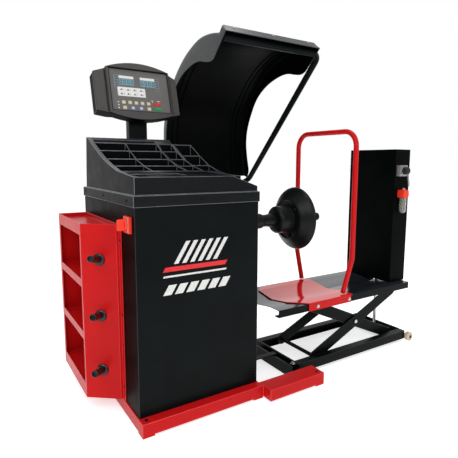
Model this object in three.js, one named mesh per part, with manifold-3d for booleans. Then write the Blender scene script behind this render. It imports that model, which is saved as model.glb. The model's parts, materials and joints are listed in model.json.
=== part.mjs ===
// Truck wheel balancer with a tilting wheel guard and a scissor wheel lift.
// Millimetres, +Z up. The machine is laid out with x = 0 on the cabinet's left face, x growing along
// the spindle, y = 0 on the cabinet's front face and z = 0 on the floor; at the end the whole group is
// moved so that its origin is at the centre of its footprint.
import * as THREE from "three";
import { mergeVertices } from "three/addons/utils/BufferGeometryUtils.js";
import Module from "manifold-3d";

// ---------------------------------------------------------------- driving dimensions
const GAP = 0.3; // clearance between touching pieces
const SHEET = 2; // cabinet sheet steel

const cabinet = { width: 540, depth: 690, bottom: 58, top: 900, seam: 349 };
const base = { height: 50, floor: 8, lip: 5, front: -43, rear: 733, wall: 3.5, beam: 62 };
const outrigger = { left: 547, right: 857, front: -97, rear: -8 };
const shaft = { y: 200, z: 744, radius: 20, end: 1064 };
const tray = { skirt: 39, overhang: 4.5, skirtWall: 3.8, floor: 912, divider: 6 };
const box = { depth: 128, rear: 666, corner: 262, flange: 147, bottom: 62, top: 783, sheet: 3 };
const head = { x: 245, y: 585, z: 1345, tilt: 15.7, depth: 70, bezel: 18 };
const guard = {
  left: 500, right: 1052, wall: 4, tubeX: 1080, tubeRadius: 16.5, tubeWall: 2.5, pivotY: 893, pivotZ: 890,
};
const rail = { left: 757, right: 1611, front: 25, width: 40, bottom: 15, top: 62, wall: 4 };
const lift = { half: 317.5, angle: 24, leftX: 948, lowZ: 48, bar: 57, plate: 8, pin: 10, middle: 205 };
const deck = { left: 676, right: 1610, front: 20, rear: 390, top: 353, web: 36, sheet: 3, valley: 17 };
const column = { left: 1500, right: 1625, front: 65, rear: 390, top: 1098 };
const rod = { x: 1556, y: 205, radius: 9, pistonRadius: 31, pistonBottom: 504, pistonTop: 528 };
const carriage = { left: 775, right: 1150, lift: 1, sheet: 4, handleX: 1110, tubeRadius: 13 };
const roller = { x: 1634, z: 25, radius: 25, width: 26 };
const switchAxis = { y: 57, z: 795 };
const pulley = { spindleRadius: 75, motorRadius: 30, left: 345, right: 375, motorZ: 440 };
const valve = { x: 1541, z: 982 };
const filter = { x: 1551, y: 43, z: 855 };

// ---------------------------------------------------------------- materials
const paint = (color, roughness, metalness = 0) =>
  new THREE.MeshStandardMaterial({ color, roughness, metalness });
const black = paint(0x15191a, 0.45, 0.1);
const blackPlastic = paint(0x1d2022, 0.55);
const greyPlastic = paint(0x4a4846, 0.6);
const red = paint(0xc31c20, 0.35, 0.1);
const orange = paint(0xe03c1c, 0.4);
const steel = paint(0xb9bcc0, 0.3, 0.9);
const darkSteel = paint(0x24272a, 0.4, 0.7);
const castIron = paint(0x3a3d40, 0.6, 0.6);
const rubber = paint(0x17181a, 0.85);
const nylon = paint(0xd8cfb4, 0.5);
const clear = paint(0xcfd3cc, 0.1);
const board = paint(0x1e5a36, 0.6);
const redKey = paint(0xd42b2e, 0.5);
const greenKey = paint(0x1f9a5c, 0.5);

// ---------------------------------------------------------------- solid helpers
const wasm = await Module();
wasm.setup();

const DEG = Math.PI / 180;
const frameYZ = new THREE.Matrix4().set(0, 0, 1, 0, 1, 0, 0, 0, 0, 1, 0, 0, 0, 0, 0, 1);
const frameXZ = new THREE.Matrix4().set(1, 0, 0, 0, 0, 0, -1, 0, 0, 1, 0, 0, 0, 0, 0, 1);

function solid(geometry) {
  geometry.deleteAttribute("normal");
  geometry.deleteAttribute("uv");
  const merged = mergeVertices(geometry, 1e-4);
  return new wasm.Manifold(
    new wasm.Mesh({
      numProp: 3,
      vertProperties: new Float32Array(merged.attributes.position.array),
      triVerts: new Uint32Array(merged.index.array),
    }),
  );
}

function toGeometry(manifold) {
  const mesh = manifold.getMesh();
  const geometry = new THREE.BufferGeometry();
  geometry.setAttribute("position", new THREE.BufferAttribute(new Float32Array(mesh.vertProperties), 3));
  geometry.setIndex(new THREE.BufferAttribute(new Uint32Array(mesh.triVerts), 1));
  geometry.computeVertexNormals();
  return geometry;
}

function prism(points, depth) {
  const outline = new THREE.Shape(points.map(([a, b]) => new THREE.Vector2(a, b)));
  return new THREE.ExtrudeGeometry(outline, { depth, bevelEnabled: false, curveSegments: 24 });
}

// A [y, z] outline swept from x0 to x1, an [x, z] outline from y0 to y1, an [x, y] outline from z0 to z1.
const alongX = (points, x0, x1) =>
  solid(prism(points, x1 - x0).applyMatrix4(frameYZ).translate(x0, 0, 0));
const alongY = (points, y0, y1) =>
  solid(prism(points, y1 - y0).applyMatrix4(frameXZ).translate(0, y1, 0));
const alongZ = (points, z0, z1) => solid(prism(points, z1 - z0).translate(0, 0, z0));

function block(x0, x1, y0, y1, z0, z1) {
  const geometry = new THREE.BoxGeometry(x1 - x0, y1 - y0, z1 - z0);
  return solid(geometry.translate((x0 + x1) / 2, (y0 + y1) / 2, (z0 + z1) / 2));
}

// A solid of revolution about an axis through `centre`; the profile is [distance along, radius].
function turned(axis, centre, profile, segments = 28) {
  const points = profile.map(([along, radius]) => new THREE.Vector2(radius, along));
  const geometry = new THREE.LatheGeometry(points, segments);
  if (axis === "x") geometry.rotateZ(-90 * DEG);
  if (axis === "z") geometry.rotateX(90 * DEG);
  return solid(geometry.translate(...centre));
}

const round = (axis, centre, radius, from, to, segments = 20) =>
  turned(axis, centre, [[from, 0], [from, radius], [to, radius], [to, 0]], segments);

const union = (...solids) => solids.reduce((whole, next) => whole.add(next));
const cut = (whole, ...tools) => tools.reduce((rest, tool) => rest.subtract(tool), whole);

// The outline moved inwards by `by`, for an outline that runs counter-clockwise.
function inset(points, by) {
  const count = points.length;
  return points.map((point, i) => {
    const [before, after] = [points[(i + count - 1) % count], points[(i + 1) % count]];
    const unit = (a, b) => new THREE.Vector2(b[0] - a[0], b[1] - a[1]).normalize();
    const [d0, d1] = [unit(before, point), unit(point, after)];
    const [n0, n1] = [new THREE.Vector2(-d0.y, d0.x), new THREE.Vector2(-d1.y, d1.x)];
    const move = n0.clone().add(n1).multiplyScalar(by / (1 + n0.dot(n1)));
    return [point[0] + move.x, point[1] + move.y];
  });
}

const rectangle = (x0, x1, y0, y1) => [[x0, y0], [x1, y0], [x1, y1], [x0, y1]];

// A path through the corners with each inner corner rounded to its radius.
function bentPath(corners, radii, steps = 6) {
  const points = [corners[0]];
  for (let i = 1; i < corners.length - 1; i++) {
    const [before, corner, after] = [corners[i - 1], corners[i], corners[i + 1]];
    const toBefore = before.clone().sub(corner).normalize();
    const toAfter = after.clone().sub(corner).normalize();
    const half = toBefore.angleTo(toAfter) / 2;
    const reach = radii[i - 1] / Math.tan(half);
    const middle = toBefore.clone().add(toAfter).normalize().multiplyScalar(radii[i - 1] / Math.sin(half));
    const centre = corner.clone().add(middle);
    const [start, end] = [toBefore, toAfter].map((d) => corner.clone().addScaledVector(d, reach).sub(centre));
    const sweep = start.angleTo(end);
    for (let k = 0; k <= steps; k++) {
      const t = k / steps;
      const a = start.clone().multiplyScalar(Math.sin((1 - t) * sweep) / Math.sin(sweep));
      points.push(centre.clone().add(a).addScaledVector(end, Math.sin(t * sweep) / Math.sin(sweep)));
    }
  }
  points.push(corners[corners.length - 1]);
  return points;
}

class PointPath extends THREE.Curve {
  constructor(points) {
    super();
    this.points = points;
  }
  getPoint(t, target = new THREE.Vector3()) {
    const spans = this.points.length - 1;
    const at = Math.min(t, 1) * spans;
    const i = Math.min(Math.floor(at), spans - 1);
    return target.lerpVectors(this.points[i], this.points[i + 1], at - i);
  }
  getUtoTmapping(u) {
    return u;
  }
}

function bar(points, radius, sides = 12) {
  const section = new THREE.Shape();
  for (let i = 0; i < sides; i++) {
    const a = (2 * Math.PI * i) / sides;
    if (i) section.lineTo(radius * Math.cos(a), radius * Math.sin(a));
    else section.moveTo(radius, 0);
  }
  const path = new PointPath(points);
  return solid(new THREE.ExtrudeGeometry(section, { steps: points.length - 1, extrudePath: path }));
}

// A bent tube with a wall and open ends.
function pipe(points, radius, wall, sides) {
  const [first, second] = points;
  const [last, beforeLast] = [points.at(-1), points.at(-2)];
  const longer = [first.clone().add(first.clone().sub(second).setLength(1)), ...points.slice(1, -1),
    last.clone().add(last.clone().sub(beforeLast).setLength(1))];
  return bar(points, radius, sides).subtract(bar(longer, radius - wall, sides));
}

const v = (x, y, z) => new THREE.Vector3(x, y, z);

// Evenly spaced points of a smooth curve through the given [y, z] points.
function smooth(points, count) {
  const curve = new THREE.SplineCurve(points.map(([a, b]) => new THREE.Vector2(a, b)));
  return curve.getSpacedPoints(count).map((p) => [p.x, p.y]);
}

const machine = new THREE.Group();

function add(name, manifold, material) {
  const mesh = new THREE.Mesh(toGeometry(manifold), material);
  mesh.name = name;
  machine.add(mesh);
  return manifold;
}

// ---------------------------------------------------------------- base frame
// Folded steel beams, open underneath, with four feet pads and a front outrigger.
function makeBase() {
  const outer = [
    [-base.lip, base.front], [outrigger.left, base.front], [outrigger.left, outrigger.front],
    [outrigger.right, outrigger.front], [outrigger.right, outrigger.rear],
    [outrigger.left, outrigger.rear], [outrigger.left, base.rear], [-base.lip, base.rear],
  ];
  const inner = rectangle(-base.lip + base.beam, outrigger.left - base.beam, base.beam, base.rear - base.beam);
  const [bottom, top] = [base.floor, base.floor + base.height];
  const groove = cut(
    alongZ(inset(outer, base.wall), bottom - 1, top - base.wall),
    alongZ(inset(inner, -base.wall), bottom - 2, top),
  );
  const frame = cut(alongZ(outer, bottom, top), alongZ(inner, bottom - 1, top + 1), groove);
  const pad = 50;
  const feet = [
    [-base.lip, base.front], [-base.lip, base.rear - pad], [outrigger.left - pad, base.rear - pad],
    [outrigger.right - pad, outrigger.front], [outrigger.left - pad, base.front],
  ].map(([x, y]) => block(x, x + pad, y, y + pad, 0, bottom + base.wall));
  const anchors = [[20, -18], [20, base.rear - 25], [outrigger.left - 25, base.rear - 25],
    [outrigger.right - 25, outrigger.front + 25]].map(([x, y]) => round("z", [x, y, 0], 7, -1, 70, 14));
  add("base_frame", cut(union(frame, ...feet), ...anchors), red);
}

// ---------------------------------------------------------------- cabinet
// Two U-shaped sheet covers that meet at a seam on the side walls.
function makeCabinet() {
  const [w, d, s] = [cabinet.width, cabinet.depth, SHEET];
  const [z0, z1] = [cabinet.bottom + GAP, cabinet.top - GAP];
  const [front, rear] = [cabinet.seam - 0.5, cabinet.seam + 0.5];
  const frontU = [[0, front], [0, 0], [w, 0], [w, front], [w - s, front], [w - s, s], [s, s], [s, front]];
  const rearU = [[0, rear], [s, rear], [s, d - s], [w - s, d - s], [w - s, rear], [w, rear], [w, d], [0, d]];
  const shaftHole = round("x", [0, shaft.y, shaft.z], 38, w - 10, w + 10);
  const switchHole = block(-1, s + 1, 45, 69, 783, 807);
  const tieSlot = block(w - s - 1, w + 1, 162, 200, cabinet.bottom, 71);
  const inletHole = block(250, 290, d - s - 1, d + 1, 120, 150);
  add("cabinet_front_shell", cut(alongZ(frontU, z0, z1), shaftHole, switchHole, tieSlot), black);
  add("cabinet_rear_shell", cut(alongZ(rearU, z0, z1), inletHole), black);
}

// ---------------------------------------------------------------- weight tray
const trayRows = [[612, 630], [551, 606], [467, 545], [371, 461], [272, 365]];
const sideCurve = [[635, 1137], [599, 1127], [553, 1105], [481, 1075], [397, 1042], [302, 1014], [200, 990],
  [105, 981], [8, 971]];
const gridCurve = [[640, 1137], [628, 1125], [552, 1077], [453, 1032], [353, 1002], [241, 981], [130, 974],
  [8, 970]];
const wingCurve = [[604, 1114], [507, 1060], [411, 1012], [322, 986], [240, 972], [120, 966]];

// Open pockets behind a shallow front shelf; everything is hollow from below, as a moulded tray is.
function makeTray() {
  const [w, d, over, wall] = [cabinet.width, cabinet.depth, tray.overhang, tray.skirtWall];
  const top = cabinet.top;
  const rearFoot = [668, top + 4];
  const side = (curve) => [[8, top], [rearFoot[0], top], rearFoot, ...curve];
  const grid = alongX(side(gridCurve), 4, 426);
  const leftWall = alongX(side(sideCurve), 4, 22);
  const wing = alongX([[120, top], [655, top], ...wingCurve], 425, 530);
  const apron = alongY([[4, top], [w, top], [w, 926], [416, 970], [4, 970]], 7, 126);
  const plate = block(-over, w + over, -over, d + over, top - 1, top + 4);
  const skirt = cut(
    block(-over, w + over, -over, d + over, top - tray.skirt, top),
    block(-over + wall, w + over - wall, -over + wall, d + over - wall, top - tray.skirt - 1, top),
  );
  const pockets = [];
  const columns = [[22, 178], [184, 338], [350, 420]];
  for (const [x0, x1] of columns)
    for (const [y0, y1] of trayRows.slice(1)) pockets.push(block(x0, x1, y0, y1, tray.floor, top + 300));
  pockets.push(block(22, 338, trayRows[0][0], trayRows[0][1], tray.floor + 60, top + 300));
  for (const [y0, y1] of [[500, 596], [402, 494], [306, 396]])
    pockets.push(block(432, 524, y0, y1, tray.floor, top + 300));
  pockets.push(block(24, 250, 84, 168, 950, top + 300));
  const underside = union(
    block(8, 412, 12, 262, top - 0.5, 946), block(412, 526, 12, 122, top - 0.5, 921),
    block(432, 524, 130, 298, top - 0.5, 955), block(12, 526, 268, 632, top - 0.5, top + 4),
    ...[[10, 204], [315, 420]].map(([x0, x1]) => alongX([[634, top - 0.5], [662, top - 0.5], [637, 1085],
      [634, 1085]], x0, x1)),
    alongX([[266, top], [630, top], [630, 1100], [452, 1040], [266, 985]], 9, 17));
  const notch = block(210, 309, 644, d + 10, top + 4, top + 300);
  const seat = wall - over;
  const bottomOpening = block(seat, w - seat, seat, d - seat, top - 2, top);
  const whole = union(plate, skirt, grid, leftWall, wing, apron);
  add("weight_tray", cut(whole, bottomOpening, underside, notch, ...pockets), blackPlastic);
}

// ---------------------------------------------------------------- accessory box and pegs
function makeAccessoryBox() {
  const gap = -0.5;
  const plan = [[gap, box.rear], [-box.depth, box.rear], [-box.depth, box.corner], [-14, 172], [gap, 172]];
  const inner = inset(plan, box.sheet);
  const shelves = [100, 320, 540];
  const [ceiling, recess] = [762, 765.5];
  const cavities = shelves.map((z, i) => alongZ(inner, z + 3, i < 2 ? shelves[i + 1] : ceiling));
  const windows = [[118, 306], [338, 525], [558, 736]].map(([z0, z1]) =>
    block(-box.depth - 1, -box.depth + box.sheet + 1, box.corner + 16, box.rear - 25, z0, z1));
  const flange = block(gap - 3, gap, box.flange, 176, cabinet.bottom + GAP, box.top);
  const body = cut(
    alongZ(plan, box.bottom, box.top), ...cavities, ...windows,
    alongZ(inner, recess, box.top + 1), alongZ(inner, box.bottom - 1, shelves[0]));
  add("accessory_box", union(body, flange), red);

  const along = v(-14 + box.depth, 172 - box.corner, 0).normalize();
  const outward = v(along.y, -along.x, 0);
  const middle = v((-14 - box.depth) / 2, (172 + box.corner) / 2, 0);
  const tilt = 14 * DEG;
  const [reach, flangeRadius, tubeRadius] = [82, 24, 14];
  for (const [name, z] of [["peg_top", 642], ["peg_middle", 414], ["peg_bottom", 186]]) {
    const place = (direction, geometry) => {
      const turn = new THREE.Quaternion().setFromUnitVectors(v(0, 1, 0), direction);
      return solid(geometry.applyQuaternion(turn).translate(middle.x, middle.y, z));
    };
    const profile = (list) => new THREE.LatheGeometry(list.map(([a, r]) => new THREE.Vector2(r, a)), 20);
    const plate = place(outward, profile([[0.4, 0], [0.4, flangeRadius], [4, flangeRadius], [8, 20], [8, 0]]));
    const up = outward.clone().multiplyScalar(Math.cos(tilt)).setZ(Math.sin(tilt));
    const tube = place(up, profile([[5, 0], [5, tubeRadius], [reach, tubeRadius], [reach, 10.5],
      [reach - 3.5, 10.5], [reach - 3.5, 0]]));
    add(name, union(plate, tube), rubber);
  }
}

// ---------------------------------------------------------------- main switch
function makeSwitch() {
  const { y, z } = switchAxis;
  add("switch_plate", cut(
    union(block(-13, -GAP, y - 29, y + 29, z - 31, z + 31), block(-2, 24, y - 11, y + 11, z - 11, z + 11)),
    round("x", [0, y, z], 6.3, -14, 10)), orange);
  add("switch_knob", union(
    round("x", [0, y, z], 22, -22, -13.4), round("x", [0, y, z], 6, -14, 9),
    block(-46, -21, y - 7, y + 7, z - 22, z + 22)), orange);
}

// ---------------------------------------------------------------- display head
// Local frame: u to the right, d into the head, w up the tilted face.
function makeDisplay() {
  const place = (manifold) => manifold.rotate([-head.tilt, 0, 0]).translate([head.x, head.y, head.z]);
  const arc = (x0, w0, x1, w1, bulge, n = 10) =>
    Array.from({ length: n + 1 }, (_, i) => {
      const t = i / n;
      return [x0 + (x1 - x0) * t, w0 + (w1 - w0) * t + bulge * 4 * t * (1 - t)];
    });
  const centre = [...arc(-150, -101, 166, -101, -28), ...arc(166, 122, -150, 122, 32)];
  const cheeks = [[-207, -91], [-152, -100], [168, -100], [207, -91], [207, 95], [168, 117], [-152, 117],
    [-207, 97]];
  const panel = { left: -134, right: 156, bottom: -86, top: 118 };
  const bezelBack = head.bezel;
  const window = block(panel.left, panel.right, -20, 6 + GAP, panel.bottom, panel.top);
  const opening = block(panel.left + 6, panel.right - 6, 5, bezelBack + 1, panel.bottom + 6, panel.top - 6);
  const sides = alongY(cheeks, 5, bezelBack);
  const front = cut(
    union(alongY(centre, -5, bezelBack), sides), window, opening,
    alongY(inset(cheeks, 5), bezelBack - 8, bezelBack + 1));
  const addHeadPart = (name, manifold, material) => add(name, place(manifold), material);
  const keypad = block(panel.left + GAP, panel.right - GAP, 2, 6, panel.bottom + GAP, panel.top - GAP);
  const keys = { start: [91, -68], stop: [88, -45] };
  const keyHole = ([u, w]) => block(u - 20, u + 20, 1, 7, w - 7, w + 7);
  addHeadPart("display_front", front, greyPlastic);
  addHeadPart("keypad_panel", cut(keypad, keyHole(keys.start), keyHole(keys.stop)), greyPlastic);
  for (const [name, [u, w], material] of [["start_key", keys.start, greenKey], ["stop_key", keys.stop, redKey]])
    addHeadPart(name, union(block(u - 19.5, u + 19.5, 0.5, 8, w - 6.5, w + 6.5),
      block(u - 21, u + 21, 6.4, 8, w - 8, w + 8)), material);
  const backPlan = inset(cheeks, 1.5);
  const room = alongY(inset(cheeks, 5), bezelBack - 1, head.depth - 3);
  const back = cut(alongY(backPlan, bezelBack + GAP, head.depth), room);
  const bulge = cut(alongY(inset(centre, 4), bezelBack + GAP, head.depth - 16),
    alongY(inset(centre, 8), bezelBack - 1, head.depth - 19));
  addHeadPart("display_back", cut(union(back, bulge), room),
    greyPlastic);
  addHeadPart("display_board", union(block(-110, 130, 24, 26, -70, 85), block(-60, 80, 20, 24.5, 20, 60),
    block(-90, -60, 26, 38, -50, 20)), board);
  const headHull = place(alongY(inset([...arc(-208, -102, 208, -102, -28), ...arc(208, 122, -208, 122, 32)], -0.4),
    -6, head.depth + 0.4));
  const stem = block(212, 307, 646, 686, cabinet.top + 4 + GAP, 1318);
  const hollow = block(215, 304, 649, 683, cabinet.top, 1250);
  add("display_stem", cut(stem, hollow, headHull), black);
}

// ---------------------------------------------------------------- spindle and drive
function makeDrive() {
  const axis = [0, shaft.y, shaft.z];
  const motorAxis = [0, shaft.y, pulley.motorZ];
  const housing = { left: 400, right: 703, outer: 36, bore: 31.3 };
  add("spindle_housing", cut(
    union(turned("x", axis, [[housing.left, 0], [housing.left, housing.outer], [690, housing.outer],
      [housing.right, 31], [housing.right, 0]]), block(430, 520, 172, 228, 575, 715)),
    round("x", axis, 24, housing.left - 1, housing.right + 1),
    round("x", axis, housing.bore, housing.left - 1, housing.left + 22),
    round("x", axis, housing.bore, housing.right - 22, housing.right + 1)), castIron);
  for (const [name, x] of [["bearing_rear", housing.left + 1], ["bearing_front", housing.right - 20]])
    add(name, cut(round("x", axis, 31, x, x + 18), round("x", axis, shaft.radius + GAP, x - 1, x + 20)), steel);
  add("spindle_shaft", turned("x", axis, [[330, 0], [330, 18], [332, shaft.radius], [shaft.end - 4, shaft.radius],
    [shaft.end, 16], [shaft.end, 0]]), darkSteel);
  const bore = round("x", axis, shaft.radius + GAP, 300, 1100);
  const { spindleRadius, motorRadius, left, right } = pulley;
  const groove = (r) => [[left, 0], [left, r + 5], [left + 3, r + 5], [left + 3, r], [right - 3, r],
    [right - 3, r + 5], [right, r + 5], [right, 0]];
  add("spindle_pulley", cut(turned("x", axis, groove(spindleRadius)), bore), castIron);
  add("encoder_disc", cut(round("x", axis, 50, 384, 387), bore), steel);
  add("motor_pulley", cut(turned("x", motorAxis, groove(motorRadius)),
    round("x", motorAxis, 9.3, left - 1, right + 1)), castIron);
  const distance = shaft.z - pulley.motorZ;
  const loop = (grow) => {
    const [big, small] = [spindleRadius + grow, motorRadius + grow];
    const slope = Math.asin((big - small) / distance);
    const side = (centre, radius, from, to, n) => Array.from({ length: n + 1 }, (_, i) => {
      const a = from + ((to - from) * i) / n;
      return [shaft.y + radius * Math.cos(a), centre + radius * Math.sin(a)];
    });
    return [...side(shaft.z, big, -slope, Math.PI + slope, 20),
      ...side(pulley.motorZ, small, Math.PI + slope, 2 * Math.PI - slope, 12)];
  };
  add("drive_belt", cut(alongX(loop(3.5), left + 4, right - 4), alongX(loop(0.5), left, right)), rubber);
  add("drive_motor", union(
    turned("x", motorAxis, [[388, 0], [388, 58], [394, 65], [520, 65], [530, 55], [530, 0]]),
    round("x", motorAxis, 9, left - 4, 390), block(410, 505, 150, 250, 495, 538)), castIron);
  const shelfZ = [540, 546];
  add("inner_shelf", cut(
    union(block(SHEET + GAP, cabinet.width - SHEET - GAP, 60, 340, ...shelfZ),
      block(SHEET + GAP, cabinet.width - SHEET - GAP, 60, 63, 546, 575),
      block(SHEET + GAP, cabinet.width - SHEET - GAP, 337, 340, 546, 575)),
    block(left - 12, right + 12, 110, 290, shelfZ[0] - 1, shelfZ[1] + 1)), darkSteel);
  add("force_sensor", round("z", [475, shaft.y, 0], 16, 546.3, 574.7), steel);
  add("hub_collar", cut(turned("x", axis, [[772, 0], [772, 36], [776, 56], [784, 64], [792, 67],
    [838, 67], [841, 71], [857.6, 71], [857.6, 0]]), bore), darkSteel);
  const bell = cut(turned("x", axis, [
    [858, 0], [858, 90], [854, 95], [855, 101], [868, 118], [888, 143], [901, 154], [912, 157],
    [912, 149], [903, 147], [892, 137], [873, 113], [868, 100], [868, 0]], 36), bore);
  add("mounting_bell", bell, darkSteel);
  add("power_board", union(block(60, 240, 681, 684, 300, 500), block(80, 140, 640, 681.5, 320, 400),
    block(160, 220, 655, 681.5, 420, 480), block(140, 160, 684, cabinet.depth - SHEET - GAP, 390, 410)), board);
}

// ---------------------------------------------------------------- wheel guard
const roofCurve = [[262, 1597], [357, 1613], [453, 1613], [543, 1589], [627, 1552], [714, 1494], [800, 1410],
  [858, 1324], [889, 1238], [898, 1150], [893, 1060], [880, 980], [872, 936]];
const rimCurve = [[307, 1494], [341, 1484], [387, 1490], [460, 1505], [545, 1497], [650, 1464], [745, 1401],
  [811, 1305], [848, 1218], [858, 1142], [848, 1060], [829, 980], [833, 951], [848, 926]];

function makeGuard() {
  const roof = smooth(roofCurve, 26);
  const rim = smooth(rimCurve, 26);
  const nose = [[201, 1591], [237, 1623], [262, 1600]];
  const outline = [...roof.toReversed(), ...nose.toReversed(), ...rim];
  const skin = alongX(outline, guard.left, guard.right);
  const shifted = (curve, by) => curve.map(([y, z], i) => {
    const [a, b] = [curve[Math.max(i - 1, 0)], curve[Math.min(i + 1, curve.length - 1)]];
    const direction = new THREE.Vector2(b[0] - a[0], b[1] - a[1]).normalize();
    return [y + direction.y * by, z - direction.x * by];
  });
  const inner = shifted(roof, guard.wall);
  const noseInner = [[262 + 2, 1592], [240, 1616], [215, 1594], [216, 1585]];
  const room = alongX([...inner.toReversed(), ...noseInner, [190, 1540], [190, 860], [865, 860]],
    guard.left + guard.wall, guard.right - guard.wall);
  const { tubeX, tubeRadius, pivotY, pivotZ } = guard;
  const route = (end) => bentPath([v(345, pivotY, pivotZ), v(tubeX, pivotY, pivotZ), v(tubeX, 238, 1570),
    v(end, 238, 1570)], [60, 45], 5);
  const tube = pipe(route(guard.left + 8), tubeRadius, guard.tubeWall);
  const around = bar(route(guard.left + 7), tubeRadius + 0.5);
  add("hood_tube", tube, black);
  add("hood_shell", cut(skin, room, around), blackPlastic);
  const collar = cut(round("x", [0, pivotY, pivotZ], 25, 350, 500), round("x", [0, pivotY, pivotZ],
    tubeRadius + 0.4, 340, 510));
  const arm = [[cabinet.depth + 5.2, 640], [cabinet.depth + 12, 640], [pivotY + 8, pivotZ - 23],
    [pivotY - 10, pivotZ + 23], [cabinet.depth + 5.2, 850]];
  const arms = [358, 486].map((x) => cut(alongX(arm, x, x + 6), round("x", [0, pivotY, pivotZ],
    tubeRadius + 0.4, 340, 510)));
  const plate = block(346, 504, cabinet.depth + GAP, cabinet.depth + 6, 630, 855);
  add("hood_bracket", union(collar, plate, ...arms), black);
}

// ---------------------------------------------------------------- lift base
const armRad = lift.angle * DEG;
const spanX = 2 * lift.half * Math.cos(armRad);
const spanZ = 2 * lift.half * Math.sin(armRad);
const layers = { a: 70, b: 81 }; // front faces of the two arm layers, mirrored at the rear
const mirrorY = (y) => 2 * lift.middle - y;

function makeLiftBase() {
  const { front, width, bottom, top, wall, left, right } = rail;
  const rear = mirrorY(front);
  const section = (web, inner) => {
    const s = Math.sign(inner - web);
    return [[web, bottom], [inner, bottom], [inner, bottom + wall], [web + s * wall, bottom + wall],
      [web + s * wall, top - wall], [inner, top - wall], [inner, top], [web, top]];
  };
  const tab = (y0, y1) => block(right - 10, right + 40, y0, y1, bottom + 1, bottom + 20);
  const pin = (from, to) => round("y", [roller.x, 0, roller.z], 6, from, to, 16);
  add("front_rail", union(alongX(section(front, front + width), left + 56 + GAP, right - 4),
    tab(35, 42), pin(3, 36)), black);
  const rearSection = section(rear, rear - width).toReversed();
  add("rear_rail", union(alongX(rearSection, left + 56 + GAP, right - 4),
    tab(mirrorY(42), mirrorY(35)), pin(mirrorY(36), mirrorY(3))), black);
  for (const [name, y] of [["roller_front", 18], ["roller_rear", mirrorY(18)]]) {
    const half = roller.width / 2;
    const profile = [[-half, 6.3], [-half, 20], [-half + 3, roller.radius], [half - 3, roller.radius],
      [half, 20], [half, 6.3], [-half, 6.3]];
    add(name, turned("y", [roller.x, y, roller.z], profile, 24), nylon);
  }
  const channel = [[left, 4], [left + 56, 4], [left + 56, top], [left + 46, top], [left + 46, top - wall],
    [left + 52, top - wall], [left + 52, 8], [left + 4, 8], [left + 4, top - wall], [left + 10, top - wall],
    [left + 10, top], [left, top]];
  const pads = [30, mirrorY(70)].map((y) => block(left + 8, left + 48, y, y + 40, 0, 5));
  const holes = [140, 215].map((y) => round("z", [left + 28, y, 0], 6, 3, 9, 16));
  add("cross_member_left", cut(union(alongY(channel, 18, mirrorY(18)), ...pads), ...holes), black);
  const foot = [[rod.x - 26, bottom], [right, bottom], [right, top], [right - 8, top], [right - 8, bottom + 4],
    [rod.x - 26, bottom + 4]];
  add("cross_member_right", alongY(foot, front + width + GAP, rear - width - GAP), black);
  add("tie_bar", block(cabinet.width - 60, left + 25, 165, 197, top + GAP, top + 6), black);
  const seat = bottom + 4 + GAP;
  add("lift_rod", turned("z", [rod.x, rod.y, 0], [[seat, 0], [seat, 16], [seat + 18, 16],
    [seat + 18, rod.radius], [rod.pistonBottom, rod.radius], [rod.pistonBottom, rod.pistonRadius],
    [rod.pistonTop, rod.pistonRadius], [rod.pistonTop, 0]]), steel);
}

// ---------------------------------------------------------------- scissor
const low = { x: lift.leftX, z: lift.lowZ };
const pivot = { x: low.x + spanX / 2, z: low.z + spanZ / 2 };

function makeScissor() {
  const arm = (rising, y0) => {
    const [r, n] = [lift.bar / 2, 10];
    const end = (cx, from) => Array.from({ length: n + 1 }, (_, i) => {
      const a = from + (Math.PI * i) / n;
      return [cx + r * Math.cos(a), r * Math.sin(a)];
    });
    const outline = [...end(lift.half, -Math.PI / 2), ...end(-lift.half, Math.PI / 2)];
    const bar = alongY(outline, y0, y0 + lift.plate).rotate([0, rising ? -lift.angle : lift.angle, 0]);
    return bar.translate([pivot.x, 0, pivot.z]);
  };
  const hole = (x, z, radius) => round("y", [x, 0, z], radius, 0, 420, 24);
  const upZ = low.z + spanZ;
  const [pinHole, axleHole] = [hole(pivot.x, pivot.z, 7.3), lift.pin + GAP];
  const pairs = [["front", layers.a, layers.b],
    ["rear", mirrorY(layers.a + lift.plate), mirrorY(layers.b + lift.plate)]];
  for (const [side, ya, yb] of pairs) {
    add("arm_a_" + side, cut(arm(true, ya), pinHole, hole(low.x, low.z, axleHole)), black);
    add("arm_b_" + side, cut(arm(false, yb), pinHole, hole(low.x, upZ, axleHole)), black);
  }
  const bolt = (y0, y1, headFrom, headTo) => union(round("y", [pivot.x, 0, pivot.z], 7, y0, y1, 24),
    round("y", [pivot.x, 0, pivot.z], 11, headFrom, headTo, 6));
  add("centre_bolt_front", bolt(64, 97, 63, layers.a - GAP), steel);
  add("centre_bolt_rear", bolt(mirrorY(97), mirrorY(64), mirrorY(layers.a - GAP), mirrorY(63)), steel);
  const webY = rail.front + rail.wall + GAP;
  add("arm_a_axle", round("y", [low.x, 0, low.z], lift.pin, webY, mirrorY(webY), 20), black);
  add("arm_b_axle", round("y", [low.x, 0, upZ], lift.pin, 62, mirrorY(62), 20), black);
}

// ---------------------------------------------------------------- deck and column
function sheetSection(topZ, thickness, front, rear) {
  const [strip, mid] = [91, lift.middle];
  const upper = [
    [front, topZ], [strip, topZ], [mid, topZ - deck.valley], [mirrorY(strip), topZ], [rear, topZ],
  ];
  const lower = upper.map(([y, z]) => [y, z - thickness]).toReversed();
  return { upper, lower };
}

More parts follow.
